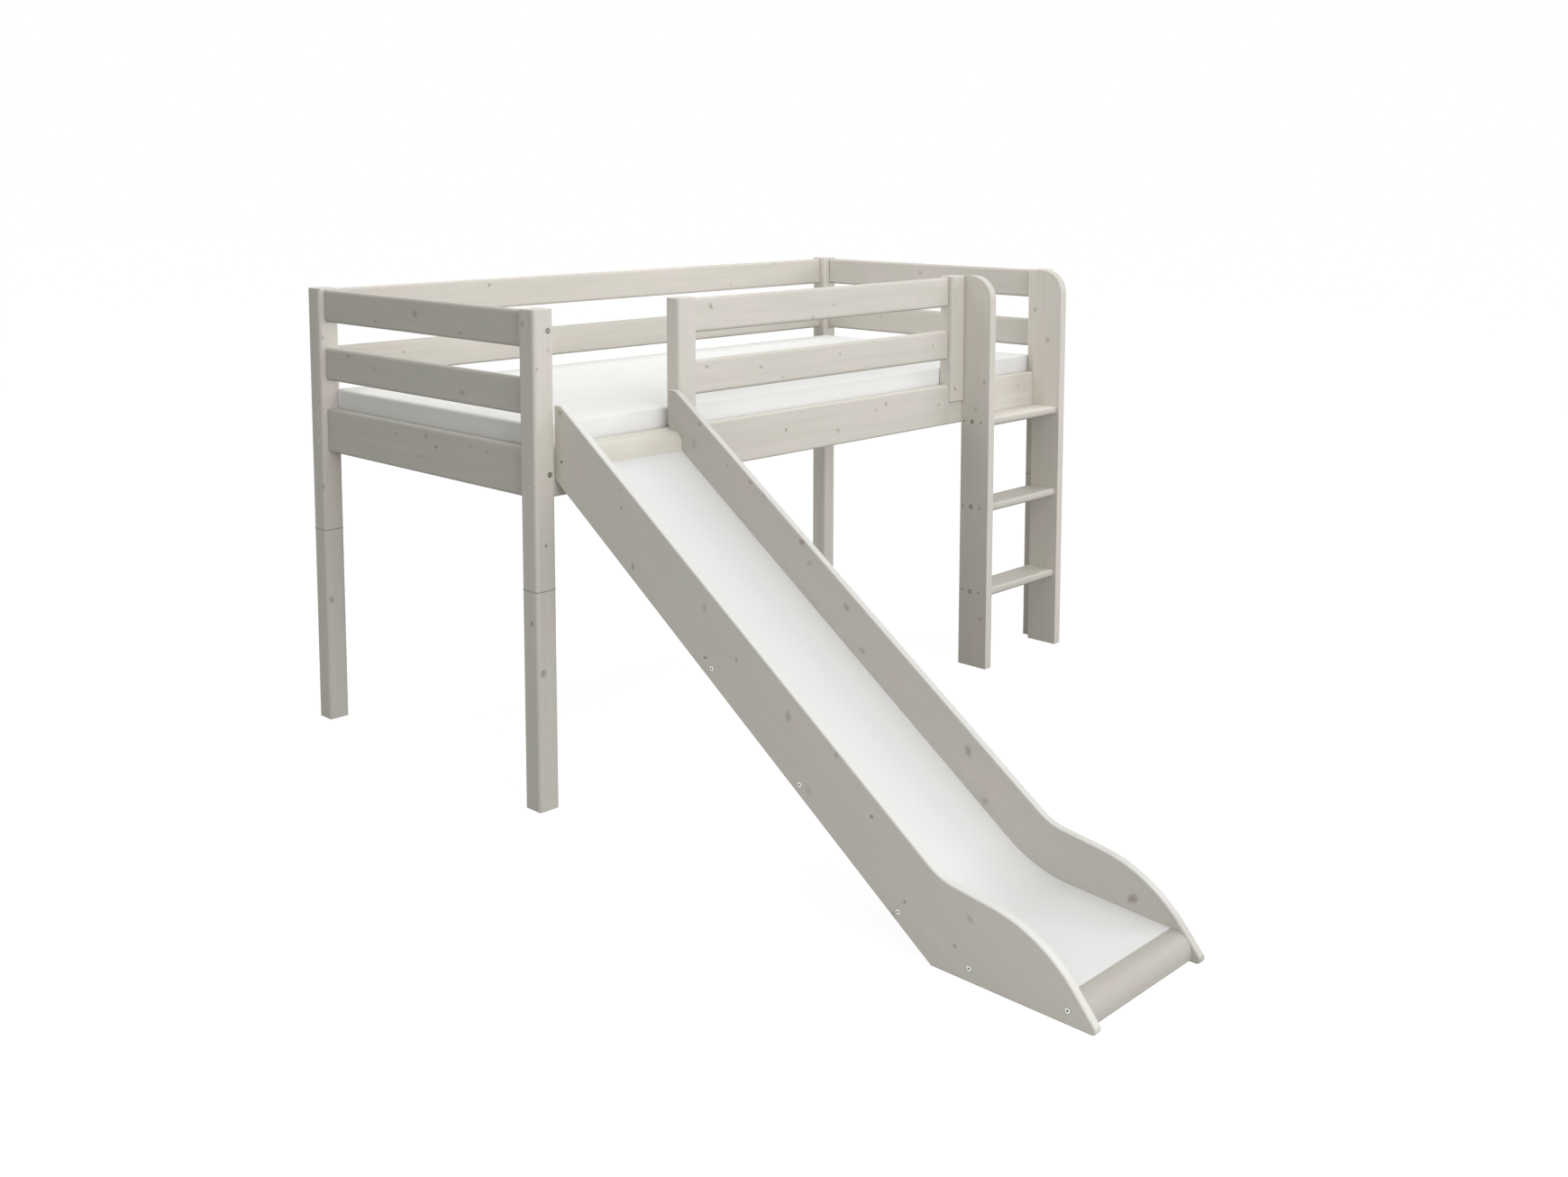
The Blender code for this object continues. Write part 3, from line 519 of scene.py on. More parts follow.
# %% [markdown]
# ## The mattress
#
# A block of foam in a cotton cover, 2 m by 0.9 m, cut with crisp edges. It fills the bed, so the
# posts press into it, and between them its front comes up close behind the side rail.
#
# A subdivided box with a noise displacement would look soft too, but as lumpy as dough. Simulated
# cloth with pressure inside swells the way a cover does: the top crowns, the sides belly out, and the
# underside stays flat on the slats.
#
# So it starts as a box cut into a grid, finer along the edges and beside each post, its edges are
# rounded, and the simulation swells it. How far a point may move is capped. Last, every point that
# lies in a post is pushed out of it, which leaves the notch that the post presses into the foam.

# %% The block of foam before it swells, smaller than the solid by the room that it swells into
RAIL_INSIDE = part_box("side_rail_front")[1][1]
SWELL_ROOM, RAIL_ROOM, TOP_ROOM, SLAT_ROOM = 0.006, 0.008, 0.004, 0.001
low, high = (Vector(corner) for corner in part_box("mattress"))
SLAB_LOW = Vector((low.x + SWELL_ROOM, RAIL_INSIDE + RAIL_ROOM, low.z + SLAT_ROOM))
SLAB_HIGH = Vector((high.x - SWELL_ROOM, high.y - SWELL_ROOM, high.z - TOP_ROOM))
print("Foam of", [round(v, 3) for v in SLAB_HIGH - SLAB_LOW], "m")

# %% Where its grid is cut
# A rounded edge is cut at shares of its radius. A notch's wall is cut twice, just inside and just
# outside the gap to its post, and once more a little way off.
PRESSED_BY = [n for n in nodes if n.startswith(("post_", "guard_post"))]
POST_ROOM, NOTCH_WALL, NOTCH_REACH = 0.0015, 0.0005, 0.010
EDGE_RADIUS = 0.008
EDGE_CUT_SHARES = (0.0, 0.3, 0.65, 1.0)
GRID_STEP, CLOSEST_CUTS = 0.026, 0.0004


def cuts(axis):
    """Where the grid is cut along one axis: close to the rounded edges and to each post's two sides."""
    ends = (SLAB_LOW[axis], SLAB_HIGH[axis])
    near = [share * EDGE_RADIUS for share in EDGE_CUT_SHARES]
    places = [ends[0] + step for step in near] + [ends[1] - step for step in near]
    if axis < 2:
        sides = [side[axis] + way * room for n in PRESSED_BY for side, way in zip(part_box(n), (-1, 1))
                 for room in (POST_ROOM - NOTCH_WALL, POST_ROOM + NOTCH_WALL, NOTCH_REACH)]
        places += [s for s in sides if ends[0] + near[-1] < s < ends[1] - near[-1]]
    places = sorted(places)
    places = [p for i, p in enumerate(places) if i == 0 or p - places[i - 1] > CLOSEST_CUTS]
    filled = [places[0]]
    for place in places[1:]:
        count = max(1, round((place - filled[-1]) / GRID_STEP))
        start = filled[-1]
        filled += [start + (place - start) * k / count for k in range(1, count + 1)]
    return filled


print("Cuts along X, Y and Z:", [len(cuts(axis)) for axis in range(3)])

# %% The box cut into that grid, with its edges rounded
def grid_box(name, lines):
    """A closed box whose six sides are cut along the given places on X, Y and Z."""
    shape, found = bmesh.new(), {}
    last = [len(places) - 1 for places in lines]
    for normal in range(3):
        across, up = (normal + 1) % 3, (normal + 2) % 3
        for end in (0, last[normal]):
            for u in range(last[across]):
                for v in range(last[up]):
                    ring = []
                    for du, dv in ((0, 0), (1, 0), (1, 1), (0, 1)):
                        at = [0, 0, 0]
                        at[normal], at[across], at[up] = end, u + du, v + dv
                        key = tuple(at)
                        if key not in found:
                            found[key] = shape.verts.new([lines[i][key[i]] for i in range(3)])
                        ring.append(found[key])
                    shape.faces.new(ring if end else ring[::-1])
    mesh = bpy.data.meshes.new(name)
    shape.to_mesh(mesh)
    shape.free()
    box = bpy.data.objects.new(name, mesh)
    bpy.context.scene.collection.objects.link(box)
    return box


def round_off(thing, low, high, radius):
    """Rounds a box's edges: each point is drawn back to the radius around an inner, smaller box."""
    inner_low, inner_high = low + Vector((radius,) * 3), high - Vector((radius,) * 3)
    for vertex in thing.data.vertices:
        inner = Vector([min(max(vertex.co[i], inner_low[i]), inner_high[i]) for i in range(3)])
        vertex.co = inner + (vertex.co - inner).normalized() * radius


mattress = grid_box("soft_mattress", [cuts(axis) for axis in range(3)])
round_off(mattress, SLAB_LOW, SLAB_HIGH, EDGE_RADIUS)
print("Slab", [round(v, 3) for v in mattress.dimensions], "with", len(mattress.data.polygons), "faces")

# %% Swelling the mattress
PRESSURE, STIFFNESS, BENDING = 4.0, 40, 2
FRAMES = 20
SWELL_CAP = 0.003
HELD_SHARE = 0.9


def swell(thing, cap):
    """Blows the slab up a little, with its underside lying on the slats."""
    scene = bpy.context.scene
    before = [v.co.copy() for v in thing.data.vertices]
    lowest = min(v.z for v in before)
    held = thing.vertex_groups.new(name="lying_on_slats")
    held.add([i for i, v in enumerate(before) if v.z < lowest + EDGE_RADIUS * HELD_SHARE], 1.0, "REPLACE")
    cloth = thing.modifiers.new("swell", "CLOTH")
    cloth.settings.use_pressure = True
    cloth.settings.uniform_pressure_force = PRESSURE
    cloth.settings.effector_weights.gravity = 0
    cloth.settings.vertex_group_mass = "lying_on_slats"
    cloth.settings.tension_stiffness = STIFFNESS
    cloth.settings.compression_stiffness = STIFFNESS
    cloth.settings.bending_stiffness = BENDING
    for number in range(1, FRAMES + 1):
        scene.frame_set(number)
    graph = bpy.context.evaluated_depsgraph_get()
    moved = [v.co.copy() for v in thing.evaluated_get(graph).data.vertices]
    scene.frame_set(1)
    thing.modifiers.clear()
    thing.vertex_groups.clear()
    for vertex, start, end in zip(thing.data.vertices, before, moved):
        step = end - start
        if step.length > cap:
            step *= cap / step.length
        vertex.co = start + step


swell(mattress, SWELL_CAP)
print("Swollen to", [round(v, 4) for v in mattress.dimensions])

# %% The notches that the posts press into it
def press_out(thing, names, room):
    """Pushes points that lie in a neighbour's box back out through its nearest upright side."""
    for name in names:
        low, high = (Vector(corner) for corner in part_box(name))
        low, high = low - Vector((room,) * 3), high + Vector((room,) * 3)
        for vertex in thing.data.vertices:
            at = vertex.co
            if all(low[i] < at[i] < high[i] for i in range(3)):
                ways = [(abs(at[i] - side[i]), i, side[i]) for i in (0, 1) for side in (low, high)]
                _, axis, value = min(ways)
                at[axis] = value


press_out(mattress, PRESSED_BY, POST_ROOM)
print("Pressed by", len(PRESSED_BY), "posts to", [round(v, 4) for v in mattress.dimensions])

# %% The finished mattress
mattress.data.shade_smooth()
mattress.data.materials.clear()
mattress.data.materials.append(COTTON)
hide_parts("mattress")
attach(mattress, "mattress")
print("Mattress faces:", len(mattress.data.polygons))

# %% [markdown]
# ## The slide
#
# A slide cheek is sawn from one wide plank: straight down the slope, a tight knee, a long brow and a
# small round toe. The white sliding board is bent along a path of its own, housed in a groove in each
# cheek, and runs from a rounded entry rail to a round nosing at the toe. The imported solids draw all
# these arcs in steps of nine degrees, which would show as faint bands across a glossy white board.
#
# So the five pieces are sawn here once more from the same numbers, with arcs so fine that they look
# smooth: a side outline is drawn as a list of corners with radii, given its thickness, and its arrises
# are rounded by a Bevel modifier. The groove is cut by a Boolean modifier. Modifiers suit a sawn plank
# better than Geometry Nodes here, because nothing in it repeats.

# %% The slide's measures, in metres in front of the side rail's face and above the floor
RAIL_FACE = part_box("side_rail_front")[0][1]
SEAT = 0.0003
PITCH, RUN_OUT_PITCH = math.radians(SLIDE_PITCH_DEGREES), math.radians(3.4)
SLOPE, RUN_OUT = math.tan(PITCH), math.tan(RUN_OUT_PITCH)
CHEEK_TOP, CHEEK_TOP_FLAT, CHEEK_TOP_RADIUS = 0.967, 0.0236, 0.020
CHEEK_DEPTH, CHEEK_THICKNESS, CHEEK_EDGE = 0.159, 0.020, 0.004
KNEE_REACH, KNEE_RADIUS = 1.1518, 0.130
BROW_REACH, BROW_HEIGHT, BROW_RADIUS = 1.3840, 0.1485, 0.290
TOE_REACH, TOE_RADIUS = 1.5120, 0.010
BOARD_DROP, BOARD_THICKNESS, GROOVE_DEPTH = 0.1065, 0.010, 0.005
BEND_REACH, BEND_RADIUS = 1.1196, 0.300
ENTRY_DEPTH, ENTRY_TOP, ENTRY_HEIGHT, ENTRY_NOSE = 0.0492, 0.866, 0.073, 0.030
NOSING_START, NOSING_DEPTH, NOSING_NOSE = 1.4355, 0.0465, 0.036
NOSING_FOOT, NOSING_FOOT_RADIUS = 0.002, 0.008
TOP_LINE = CHEEK_TOP + CHEEK_TOP_FLAT * SLOPE
BEND_HEIGHT = TOP_LINE - BOARD_DROP / math.cos(PITCH) - BEND_REACH * SLOPE
ARC_STEP = math.radians(1.5)
print("The board bends", round(BEND_HEIGHT * 1000), "mm above the floor")

# %% Outlines with round corners
def rounded_outline(corners):
    """The points of an outline through (along, up, radius) corners, each rounded by its radius."""
    outline = []
    for index, (along, up, radius) in enumerate(corners):
        here = Vector((along, up))
        if radius == 0:
            outline.append(here)
            continue
        before, after = Vector(corners[index - 1][:2]), Vector(corners[(index + 1) % len(corners)][:2])
        to_before, to_after = (before - here).normalized(), (after - here).normalized()
        half = to_before.angle(to_after) / 2
        centre = here + (to_before + to_after).normalized() * radius / math.sin(half)
        first, last = (here + way * radius / math.tan(half) - centre for way in (to_before, to_after))
        start = math.atan2(first.y, first.x)
        turn = math.remainder(math.atan2(last.y, last.x) - start, math.tau)
        steps = max(4, math.ceil(abs(turn) / ARC_STEP))
        for angle in (start + turn * k / steps for k in range(steps + 1)):
            outline.append(centre + radius * Vector((math.cos(angle), math.sin(angle))))
    return outline


print("A quarter circle takes", math.ceil(math.pi / 2 / ARC_STEP), "steps")

# %% The path of the sliding board, and a strip along it
def board_path(room):
    """The sliding surface from the entry rail to the nosing, with room at both ends."""
    top, end = ENTRY_DEPTH + SEAT - room, NOSING_START - SEAT + room
    return rounded_outline([(-top, BEND_HEIGHT + (BEND_REACH - top) * SLOPE, 0),
                            (-BEND_REACH, BEND_HEIGHT, BEND_RADIUS),
                            (-end, BEND_HEIGHT - (end - BEND_REACH) * RUN_OUT, 0)])


def strip(path, rise, drop):
    """A closed outline that follows a path, rise above it and drop below it, with upright ends."""
    upper, lower = [], []
    for index, point in enumerate(path):
        before, after = path[max(index - 1, 0)], path[min(index + 1, len(path) - 1)]
        run = (after - before).normalized()
        up = Vector((0, -1 / run.x)) if point in (before, after) else Vector((run.y, -run.x))
        upper.append(point + up * rise)
        lower.append(point - up * drop)
    return upper + lower[::-1]


print("The board follows", len(board_path(0)), "points")

# %% The side outlines of the cheeks, the entry rail and the nosing
UNDER_LINE = TOP_LINE - CHEEK_DEPTH / math.cos(PITCH)
CHEEK_OUTLINE = rounded_outline([
    (-SEAT, CHEEK_TOP, 0), (-CHEEK_TOP_FLAT, CHEEK_TOP, CHEEK_TOP_RADIUS),
    (-KNEE_REACH, TOP_LINE - KNEE_REACH * SLOPE, KNEE_RADIUS), (-BROW_REACH, BROW_HEIGHT, BROW_RADIUS),
    (-TOE_REACH, 0, TOE_RADIUS), (-UNDER_LINE / SLOPE, 0, 0), (-SEAT, UNDER_LINE - SEAT * SLOPE, 0),
])
ENTRY_OUTLINE = rounded_outline([
    (-SEAT, ENTRY_TOP, 0), (-ENTRY_DEPTH, ENTRY_TOP, ENTRY_NOSE),
    (-ENTRY_DEPTH, ENTRY_TOP - ENTRY_HEIGHT, 0), (-SEAT, ENTRY_TOP - ENTRY_HEIGHT, 0),
])
NOSING_FRONT = NOSING_START + NOSING_DEPTH
NOSING_TOP = BEND_HEIGHT - (NOSING_START - BEND_REACH) * RUN_OUT
NOSING_OUTLINE = rounded_outline([
    (-NOSING_START, NOSING_TOP, 0), (-NOSING_FRONT, NOSING_TOP, NOSING_NOSE),
    (-NOSING_FRONT, NOSING_FOOT, NOSING_FOOT_RADIUS), (-NOSING_START, NOSING_FOOT, 0),
])
print("The cheek's outline has", len(CHEEK_OUTLINE), "points")

# %% Sawing a plank to an outline
ARRIS_SEGMENTS, ARRIS_ANGLE = 4, math.radians(40)


def bake_modifiers(thing):
    """Replaces the mesh by what the modifiers make of it, and removes them."""
    graph = bpy.context.evaluated_depsgraph_get()
    mesh = bpy.data.meshes.new_from_object(thing.evaluated_get(graph))
    thing.modifiers.clear()
    thing.data = mesh


def sawn(name, outline, x_low, x_high, edge=0.0, groove=None):
    """A closed plank between two places across the bed, its arrises rounded, its groove cut."""
    shape = bmesh.new()
    sides = [[shape.verts.new((x, RAIL_FACE + along, up)) for along, up in outline]
             for x in (x_low, x_high)]
    shape.faces.new(sides[0])
    shape.faces.new(sides[1][::-1])
    for k in range(len(outline)):
        after = (k + 1) % len(outline)
        shape.faces.new([sides[0][k], sides[1][k], sides[1][after], sides[0][after]])
    bmesh.ops.recalc_face_normals(shape, faces=shape.faces)
    mesh = bpy.data.meshes.new(name)
    shape.to_mesh(mesh)
    shape.free()
    piece = bpy.data.objects.new(name, mesh)
    bpy.context.scene.collection.objects.link(piece)
    if edge:
        arris = piece.modifiers.new("rounded_arrises", "BEVEL")
        arris.width, arris.segments, arris.angle_limit = edge, ARRIS_SEGMENTS, ARRIS_ANGLE
    if groove:
        piece.modifiers.new("groove", "BOOLEAN").object = groove
    bake_modifiers(piece)
    piece.data.shade_smooth()
    piece.data.set_sharp_from_angle(angle=ARRIS_ANGLE)
    piece.modifiers.new("even_shading", "WEIGHTED_NORMAL").keep_sharp = True
    bake_modifiers(piece)
    return piece


LEFT_IN, RIGHT_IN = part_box("slide_cheek_left")[1][0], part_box("slide_cheek_right")[0][0]
GROOVES = (LEFT_IN - GROOVE_DEPTH, RIGHT_IN + GROOVE_DEPTH)
cutter = sawn("groove_cutter", strip(board_path(SEAT), SEAT, BOARD_THICKNESS + SEAT), *GROOVES)
print("The groove cutter has", len(cutter.data.polygons), "faces")

# %% The five pieces of the slide, sawn and put in the place of their solids
for name, node, finish, slot, shape in (
    ("sawn_left_cheek", "slide_cheek_left", PINE["left_cheek"], "whitewashed_pine",
     (CHEEK_OUTLINE, LEFT_IN - CHEEK_THICKNESS, LEFT_IN, CHEEK_EDGE, cutter)),
    ("sawn_right_cheek", "slide_cheek_right", PINE["right_cheek"], "whitewashed_pine",
     (CHEEK_OUTLINE, RIGHT_IN, RIGHT_IN + CHEEK_THICKNESS, CHEEK_EDGE, cutter)),
    ("bent_sliding_board", "slide_board", LAMINATE, "white_laminate",
     (strip(board_path(0), 0, BOARD_THICKNESS), GROOVES[0] + SEAT, GROOVES[1] - SEAT)),
    ("rounded_entry_rail", "slide_entry_rail", PINE["rails"], "whitewashed_pine",
     (ENTRY_OUTLINE, LEFT_IN + SEAT, RIGHT_IN - SEAT)),
    ("round_toe_nosing", "slide_toe_nosing", PINE["toe"], "whitewashed_pine",
     (NOSING_OUTLINE, LEFT_IN + SEAT, RIGHT_IN - SEAT)),
):
    piece = sawn(name, *shape)
    piece.data.materials.clear()
    piece.data.materials.append(finish)
    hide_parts(node)
    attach(piece, "bed_frame")
    corners = (piece.bound_box[0], piece.bound_box[6])
    off = max(abs(corner[i] - solid[i]) for corner, solid in zip(corners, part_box(node)) for i in range(3))
    print(name, len(piece.data.polygons), "faces, at most", round(off * 1000, 2), "mm off its solid's box")
bpy.data.objects.remove(cutter)

# %% [markdown]
# ## Fasteners
#
# The bed is put together with a few kinds of fastener, repeated many times. Copies could be placed one
# by one, but a Geometry Nodes tree does it by a rule that is easy to change. Each kind is one small
# mesh of unit size, and the tree sets it on a list of points, scales it to its real radius and height,
# and turns it to face the way that each point looks. The result is turned into a plain mesh, so that
# nothing procedural is left on the piece.

# %% Places of the fasteners
MINUS_X, PLUS_X, MINUS_Y, PLUS_Y = (-1, 0, 0), (1, 0, 0), (0, -1, 0), (0, 1, 0)
LEFT_FACE, RIGHT_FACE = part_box("post_back_left")[0][0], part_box("post_back_right")[1][0]
BED_FRONT, BED_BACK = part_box("post_front_left")[0][1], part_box("post_back_left")[1][1]
RAIL_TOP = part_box("side_rail_front")[1][2]
RUNGS = [sum(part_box(f"ladder_rung_{i}")[k][2] for k in (0, 1)) / 2 for i in (1, 2, 3)]
GUARD_POSTS = [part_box("guard_post_slide_side"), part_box("guard_post_ladder_side")]


def outer_faces(left, right):
    """The left face of one piece and the right face of another, each with the way that it looks."""
    return [(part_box(left)[0][0], MINUS_X), (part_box(right)[1][0], PLUS_X)]


BED_ENDS = outer_faces("post_back_left", "post_back_right")
CHEEKS = outer_faces("slide_cheek_left", "slide_cheek_right")
STRINGERS = outer_faces("ladder_stringer_left", "ladder_stringer_right")
print("Rungs at", [round(z, 3) for z in RUNGS], "m")

# %% One list for each kind: where it sits and which way it looks
FRONT_SCREW_INSET, BACK_SCREW_INSET, POST_SCREW_HEIGHTS = 0.0215, 0.0365, (0.842, 0.777)
CHEEK_SCREW_PLACES = ((-0.515, 0.452), (-0.773, 0.265), (-1.035, 0.081), (-1.207, 0.028), (-1.426, 0.028))
BARREL_BOLT_INSET, BARREL_BOLT_HEIGHTS = 0.042, (1.1437, 0.8065)
RUNG_BOLT_PLACE, RUNG_DOWEL_PLACES = -0.026, (0.004, -0.058)
GUARD_BOLT_INSET, GUARD_BOLT_HEIGHT = 0.018, 0.856
CHEEK_BOLT_PLACE, CHEEK_BOLT_HEIGHT = -0.0115, 0.8356
PIN_INSET, PIN_GAP = 0.006, 0.0045

post_screws = [((face, y, z), way) for face, way in BED_ENDS
               for y in (BED_FRONT + FRONT_SCREW_INSET, BED_BACK - BACK_SCREW_INSET)
               for z in POST_SCREW_HEIGHTS]
cheek_screws = [((face, BED_FRONT + y, z), way) for face, way in CHEEKS for y, z in CHEEK_SCREW_PLACES]
bolts = [((x, face, z), way) for face, way in ((BED_FRONT, MINUS_Y), (BED_BACK, PLUS_Y))
         for x in (LEFT_FACE + BARREL_BOLT_INSET, RIGHT_FACE - BARREL_BOLT_INSET)
         for z in BARREL_BOLT_HEIGHTS]
bolts += [((face, BED_FRONT + RUNG_BOLT_PLACE, z), way) for face, way in STRINGERS for z in RUNGS]
dowels = [((face, BED_FRONT + y, z), way) for face, way in STRINGERS for z in RUNGS
          for y in RUNG_DOWEL_PLACES]
small_bolts = [((post[0][0] + GUARD_BOLT_INSET, post[0][1], GUARD_BOLT_HEIGHT), MINUS_Y)
               for post in GUARD_POSTS]
small_bolts += [((face, BED_FRONT + CHEEK_BOLT_PLACE, CHEEK_BOLT_HEIGHT), way) for face, way in CHEEKS]
pins = [((x, RAIL_INSIDE - PIN_INSET, RAIL_TOP), UP)
        for x in (GUARD_POSTS[0][0][0] - PIN_GAP, GUARD_POSTS[1][1][0] + PIN_GAP)]
print("Fasteners:", len(post_screws) + len(cheek_screws), "screws,", len(bolts) + len(small_bolts),
      "bolts,", len(dowels), "dowel ends,", len(pins), "pins")

# %% Shapes of the fasteners, one unit in radius and in height, and sunk a little into the wood
SUNK = -0.4


def turned(name, profile, sides=20):
    """A small closed part turned from (radius, height) steps. Height zero is the surface it sits on."""
    shape, rows = bmesh.new(), []
    for radius, height in profile:
        ways = [2 * math.pi * k / sides for k in range(sides if radius else 1)]
        rows.append([shape.verts.new((radius * math.cos(a), radius * math.sin(a), height)) for a in ways])
    for upper, lower in zip(rows, rows[1:]):
        for k in range(sides):
            after = (k + 1) % sides
            corners = [upper[k % len(upper)], lower[k % len(lower)], lower[after % len(lower)],
                       upper[after % len(upper)]]
            shape.faces.new(list(dict.fromkeys(corners)))
    bmesh.ops.recalc_face_normals(shape, faces=shape.faces)
    mesh = bpy.data.meshes.new(name)
    shape.to_mesh(mesh)
    shape.free()
    return bpy.data.objects.new(name, mesh)


DISC = turned("unit_disc", [(0, SUNK), (1, SUNK), (1, 1), (0, 1)])
PIN = turned("unit_pin", [(0, SUNK), (1, SUNK), (1, 0.8), (0.75, 1), (0, 1)])
HEAD = turned("unit_screw_head", [(0.38, SUNK), (1, SUNK), (1, 0.35), (0.86, 0.85), (0.55, 1.0),
                                  (0.38, 0.7), (0.38, SUNK)])
HEX = turned("unit_hex_head", [(0.36, SUNK), (1, SUNK), (1, 0.8), (0.92, 1.0), (0.36, 1.0),
                               (0.36, SUNK)], 6)
print("Shapes:", [part.name for part in (DISC, PIN, HEAD, HEX)])

# %% The tree that sets them
def fastener_tree():
    """Points in, one part on each point, scaled and turned to the point's own facing direction."""
    tree = bpy.data.node_groups.new("set_fasteners", "GeometryNodeTree")
    kinds = {"Points": "NodeSocketGeometry", "Part": "NodeSocketObject", "Radius": "NodeSocketFloat",
             "Height": "NodeSocketFloat", "Finish": "NodeSocketMaterial"}
    sockets = {name: tree.interface.new_socket(name, in_out="INPUT", socket_type=kind).identifier
               for name, kind in kinds.items()}
    tree.interface.new_socket("Fasteners", in_out="OUTPUT", socket_type="NodeSocketGeometry")
    entry = add(tree, "NodeGroupInput").outputs
    way = add(tree, "GeometryNodeInputNamedAttribute", {"Name": "facing"}, data_type="FLOAT_VECTOR")
    turn = add(tree, "FunctionNodeAlignRotationToVector", {"Vector": way.outputs[0]}, axis="Z")
    size = add(tree, "ShaderNodeCombineXYZ", {"X": entry["Radius"], "Y": entry["Radius"],
                                              "Z": entry["Height"]})
    shape = add(tree, "GeometryNodeObjectInfo", {"Object": entry["Part"]})
    placed = add(tree, "GeometryNodeInstanceOnPoints", {"Points": entry["Points"], "Scale": size.outputs[0],
                                                        "Instance": shape.outputs["Geometry"],
                                                        "Rotation": turn.outputs[0]})
    real = add(tree, "GeometryNodeRealizeInstances", {"Geometry": placed.outputs[0]})
    coated = add(tree, "GeometryNodeSetMaterial", {"Geometry": real.outputs[0],
                                                   "Material": entry["Finish"]})
    add(tree, "NodeGroupOutput", {"Fasteners": coated.outputs[0]})
    return tree, sockets


TREE, SOCKETS = fastener_tree()
print("Inputs of the tree:", list(SOCKETS))

# %% Setting the fasteners
def set_fasteners(name, rows, part, radius_mm, height_mm, finish):
    """One fastener on each row's place, as one mesh that rides with the frame of the bed."""
    mesh = bpy.data.meshes.new(name)
    mesh.from_pydata([place for place, _ in rows], [], [])
    ways = mesh.attributes.new("facing", "FLOAT_VECTOR", "POINT")
    ways.data.foreach_set("vector", [value for _, way in rows for value in way])
    piece = bpy.data.objects.new(name, mesh)
    bpy.context.scene.collection.objects.link(piece)
    step = piece.modifiers.new("set_fasteners", "NODES")
    step.node_group = TREE
    for key, value in (("Part", part), ("Radius", radius_mm / 1000), ("Height", height_mm / 1000),
                       ("Finish", finish)):
        step[SOCKETS[key]] = value
    bpy.context.view_layer.update()
    bake_modifiers(piece)
    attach(piece, "bed_frame")
    return piece


for name, rows, part, radius_mm, height_mm, finish in (
    # painted shade: thin dark discs under the screw heads for the shade in their countersinks
    ("screw_countersinks", post_screws + cheek_screws, DISC, 6.7, 0.15, COUNTERSINK_SHADE),
    ("cheek_screw_heads", cheek_screws, HEAD, 6.0, 0.9, ZINC),
    ("post_screw_heads", post_screws, HEAD, 6.0, 0.9, GLAZED_ZINC),
    # the bolt holes and small sunk bolts are dark discs, partly raw wood and partly painted shade of the
    # hole
    ("bolt_holes", bolts, DISC, 6.9, 0.2, BORED),
    ("bolt_heads", bolts, HEX, 4.9, 0.7, STEEL),
    ("small_sunk_bolts", small_bolts, PIN, 3.4, 0.3, BORED),
    ("rail_pins", pins, PIN, 3.2, 4.0, BORED),
    ("dowel_ends", dowels, PIN, 3.6, 0.3, DOWEL),
):
    made = set_fasteners(name, rows, part, radius_mm, height_mm, finish)
    print(name, len(made.data.polygons), "faces")
for part in (DISC, PIN, HEAD, HEX):
    bpy.data.objects.remove(part)

# %% [markdown]
# ## Floor, backdrop and light
#
# The photograph shows the bed on plain white. Camera rays, and rays that come off metal or gloss, see
# the floor and the backdrop close to white, while all other rays see a plain pale room, so the bed is
# not flooded with light. The floor keeps some of its real shading, which leaves a faint shadow at
# the feet.
#
# Soft lamps stand in front, to the right and above: tops come out lightest, fronts a little darker,
# and all sides that face left lie in soft shade. Their strengths were found by comparing the lit
# surfaces with the photograph.

# %% The numbers of the studio
# Seen directly, the floor is six tenths plain white and four tenths matt grey with its shadows. That
# white is stronger than 1, so that the two add up to white.
FLOOR_WHITE_SHARE, FLOOR_WHITE = 0.6, 1.575
FLOOR_REACH = 30
ROOM_LIGHT, ROOM_TINT = 0.398, (0.985, 1.0, 0.945, 1.0)
PLAIN_WHITE = (1, 1, 1, 1)
LAMPS = {
    # name: place, point it looks at, width and height, watts
    "overhead_back": ((0.3, 1.6, 3.4), (0.3, 0.9, 0.9), (3.0, 1.4), 42.5),
    "overhead_front": ((0.0, -2.6, 4.2), (0.0, 0.4, 0.8), (3.6, 2.2), 31),
    "wide_front": ((0.2, -6.0, 1.8), (0.0, 0.2, 0.9), (4.5, 2.4), 35),
    "front_left": ((-2.5, -6.0, 2.4), (-0.2, 0.2, 0.9), (3.0, 2.4), 120),
    "right": ((5.0, -3.5, 3.0), (0.3, 0.2, 0.7), (2.6, 2.6), 96),
    "toe_fill": ((-3.6, -2.2, 1.0), (-0.97, -1.0, 0.15), (0.8, 0.8), 12.5),
}
print("Lamps:", {name: row[-1] for name, row in LAMPS.items()})

# %% What shows white and what lights the bed
def seen_directly(tree):
    """1 for camera, mirror and glass rays, which should see white, and 0 for rays that light the bed."""
    path = add(tree, "ShaderNodeLightPath").outputs
    first = add(tree, "ShaderNodeMath", {0: path["Is Camera Ray"], 1: path["Is Glossy Ray"]},
                operation="MAXIMUM").outputs[0]
    return add(tree, "ShaderNodeMath", {0: first, 1: path["Is Transmission Ray"]},
               operation="MAXIMUM").outputs[0]


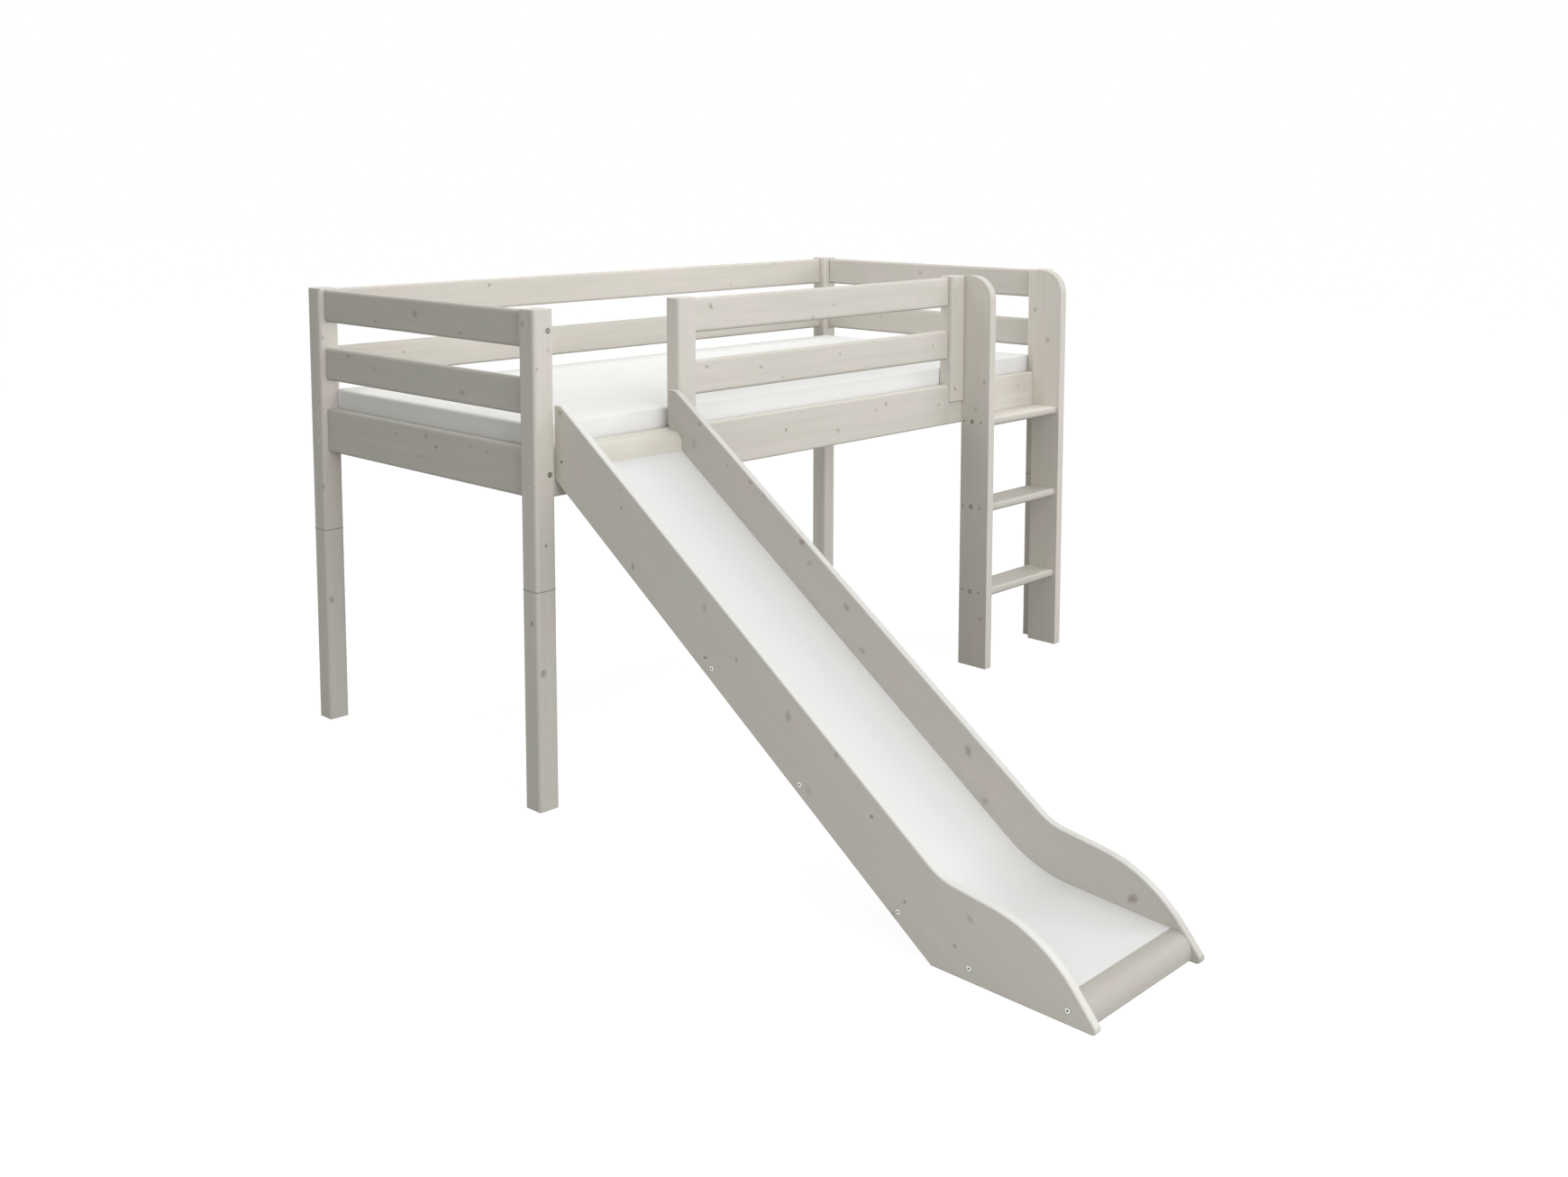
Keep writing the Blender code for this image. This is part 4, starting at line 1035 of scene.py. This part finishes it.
def floor_material():
    """A matt grey floor that catches shadows, with white mixed in where it is seen directly."""
    material, tree = new_material("pale_floor")
    matt = add(tree, "ShaderNodeBsdfDiffuse", {"Color": hex_colour("#A0A0A0")}).outputs[0]
    white = add(tree, "ShaderNodeEmission", {"Color": PLAIN_WHITE, "Strength": FLOOR_WHITE}).outputs[0]
    share = add(tree, "ShaderNodeMath", {0: seen_directly(tree), 1: FLOOR_WHITE_SHARE},
                operation="MULTIPLY").outputs[0]
    both = add(tree, "ShaderNodeMixShader", {0: share, 1: matt, 2: white}).outputs[0]
    add(tree, "ShaderNodeOutputMaterial", {"Surface": both})
    return material


def white_world():
    """A world that is plain white to look at and a dim room to be lit by."""
    world = bpy.data.worlds.new("studio_white")
    bpy.context.scene.world = world
    world.use_nodes = True
    tree = world.node_tree
    tree.nodes.clear()
    dim = add(tree, "ShaderNodeBackground", {"Color": ROOM_TINT, "Strength": ROOM_LIGHT}).outputs[0]
    bright = add(tree, "ShaderNodeBackground", {"Color": PLAIN_WHITE, "Strength": 1.0}).outputs[0]
    both = add(tree, "ShaderNodeMixShader", {0: seen_directly(tree), 1: dim, 2: bright}).outputs[0]
    add(tree, "ShaderNodeOutputWorld", {"Surface": both})


plane = bpy.data.meshes.new("studio_floor")
plane.from_pydata([(x * FLOOR_REACH, y * FLOOR_REACH, 0) for x, y in ((-1, -1), (1, -1), (1, 1), (-1, 1))],
                  [], [(0, 1, 2, 3)])
floor = bpy.data.objects.new("studio_floor", plane)
bpy.context.scene.collection.objects.link(floor)
plane.materials.append(floor_material())
white_world()
print("The floor is", 2 * FLOOR_REACH, "m wide")

# %% Lamps
def lamp(name, place, aim, size, watts):
    """A soft rectangular lamp that looks at a point and isn't seen by the camera."""
    data = bpy.data.lights.new(name, "AREA")
    data.shape = "RECTANGLE"
    data.size, data.size_y = size
    data.energy = watts
    made = bpy.data.objects.new(name, data)
    made.location = place
    made.rotation_euler = (Vector(aim) - Vector(place)).to_track_quat("-Z", "Y").to_euler()
    made.visible_camera = False
    bpy.context.scene.collection.objects.link(made)


for name, row in LAMPS.items():
    lamp(name, *row)
print("Studio ready with", len(LAMPS), "lamps")

# %% [markdown]
# ## Camera
#
# The camera stands to the left in front of the bed, about 1.5 m up. Its place and lens come from the
# photograph's own perspective. The photograph looks level and is framed low, so the picture needs
# some downward shift; part of that is taken up by tilting the camera down a little, which keeps the
# shift small.

# %% Camera at the photograph's angle
CAMERA_PLACE = (-3.3118, -2.7111, 1.5241)
TILTED_DOWN, TURNED_RIGHT = math.radians(6.0752), math.radians(45.6461)
camera_data = bpy.data.cameras.new("photo_camera")
camera_data.sensor_fit = "HORIZONTAL"
camera_data.sensor_width = 36
camera_data.lens = 37.26
camera_data.shift_x = 0.0131
camera_data.shift_y = -0.16
camera = bpy.data.objects.new("photo_camera", camera_data)
camera.location = CAMERA_PLACE
camera.rotation_euler = (math.pi / 2 - TILTED_DOWN, 0, -TURNED_RIGHT)
bpy.context.scene.collection.objects.link(camera)
bpy.context.scene.camera = camera
bpy.context.scene.view_settings.view_transform = "Standard"
print("Lens", camera_data.lens, "mm")
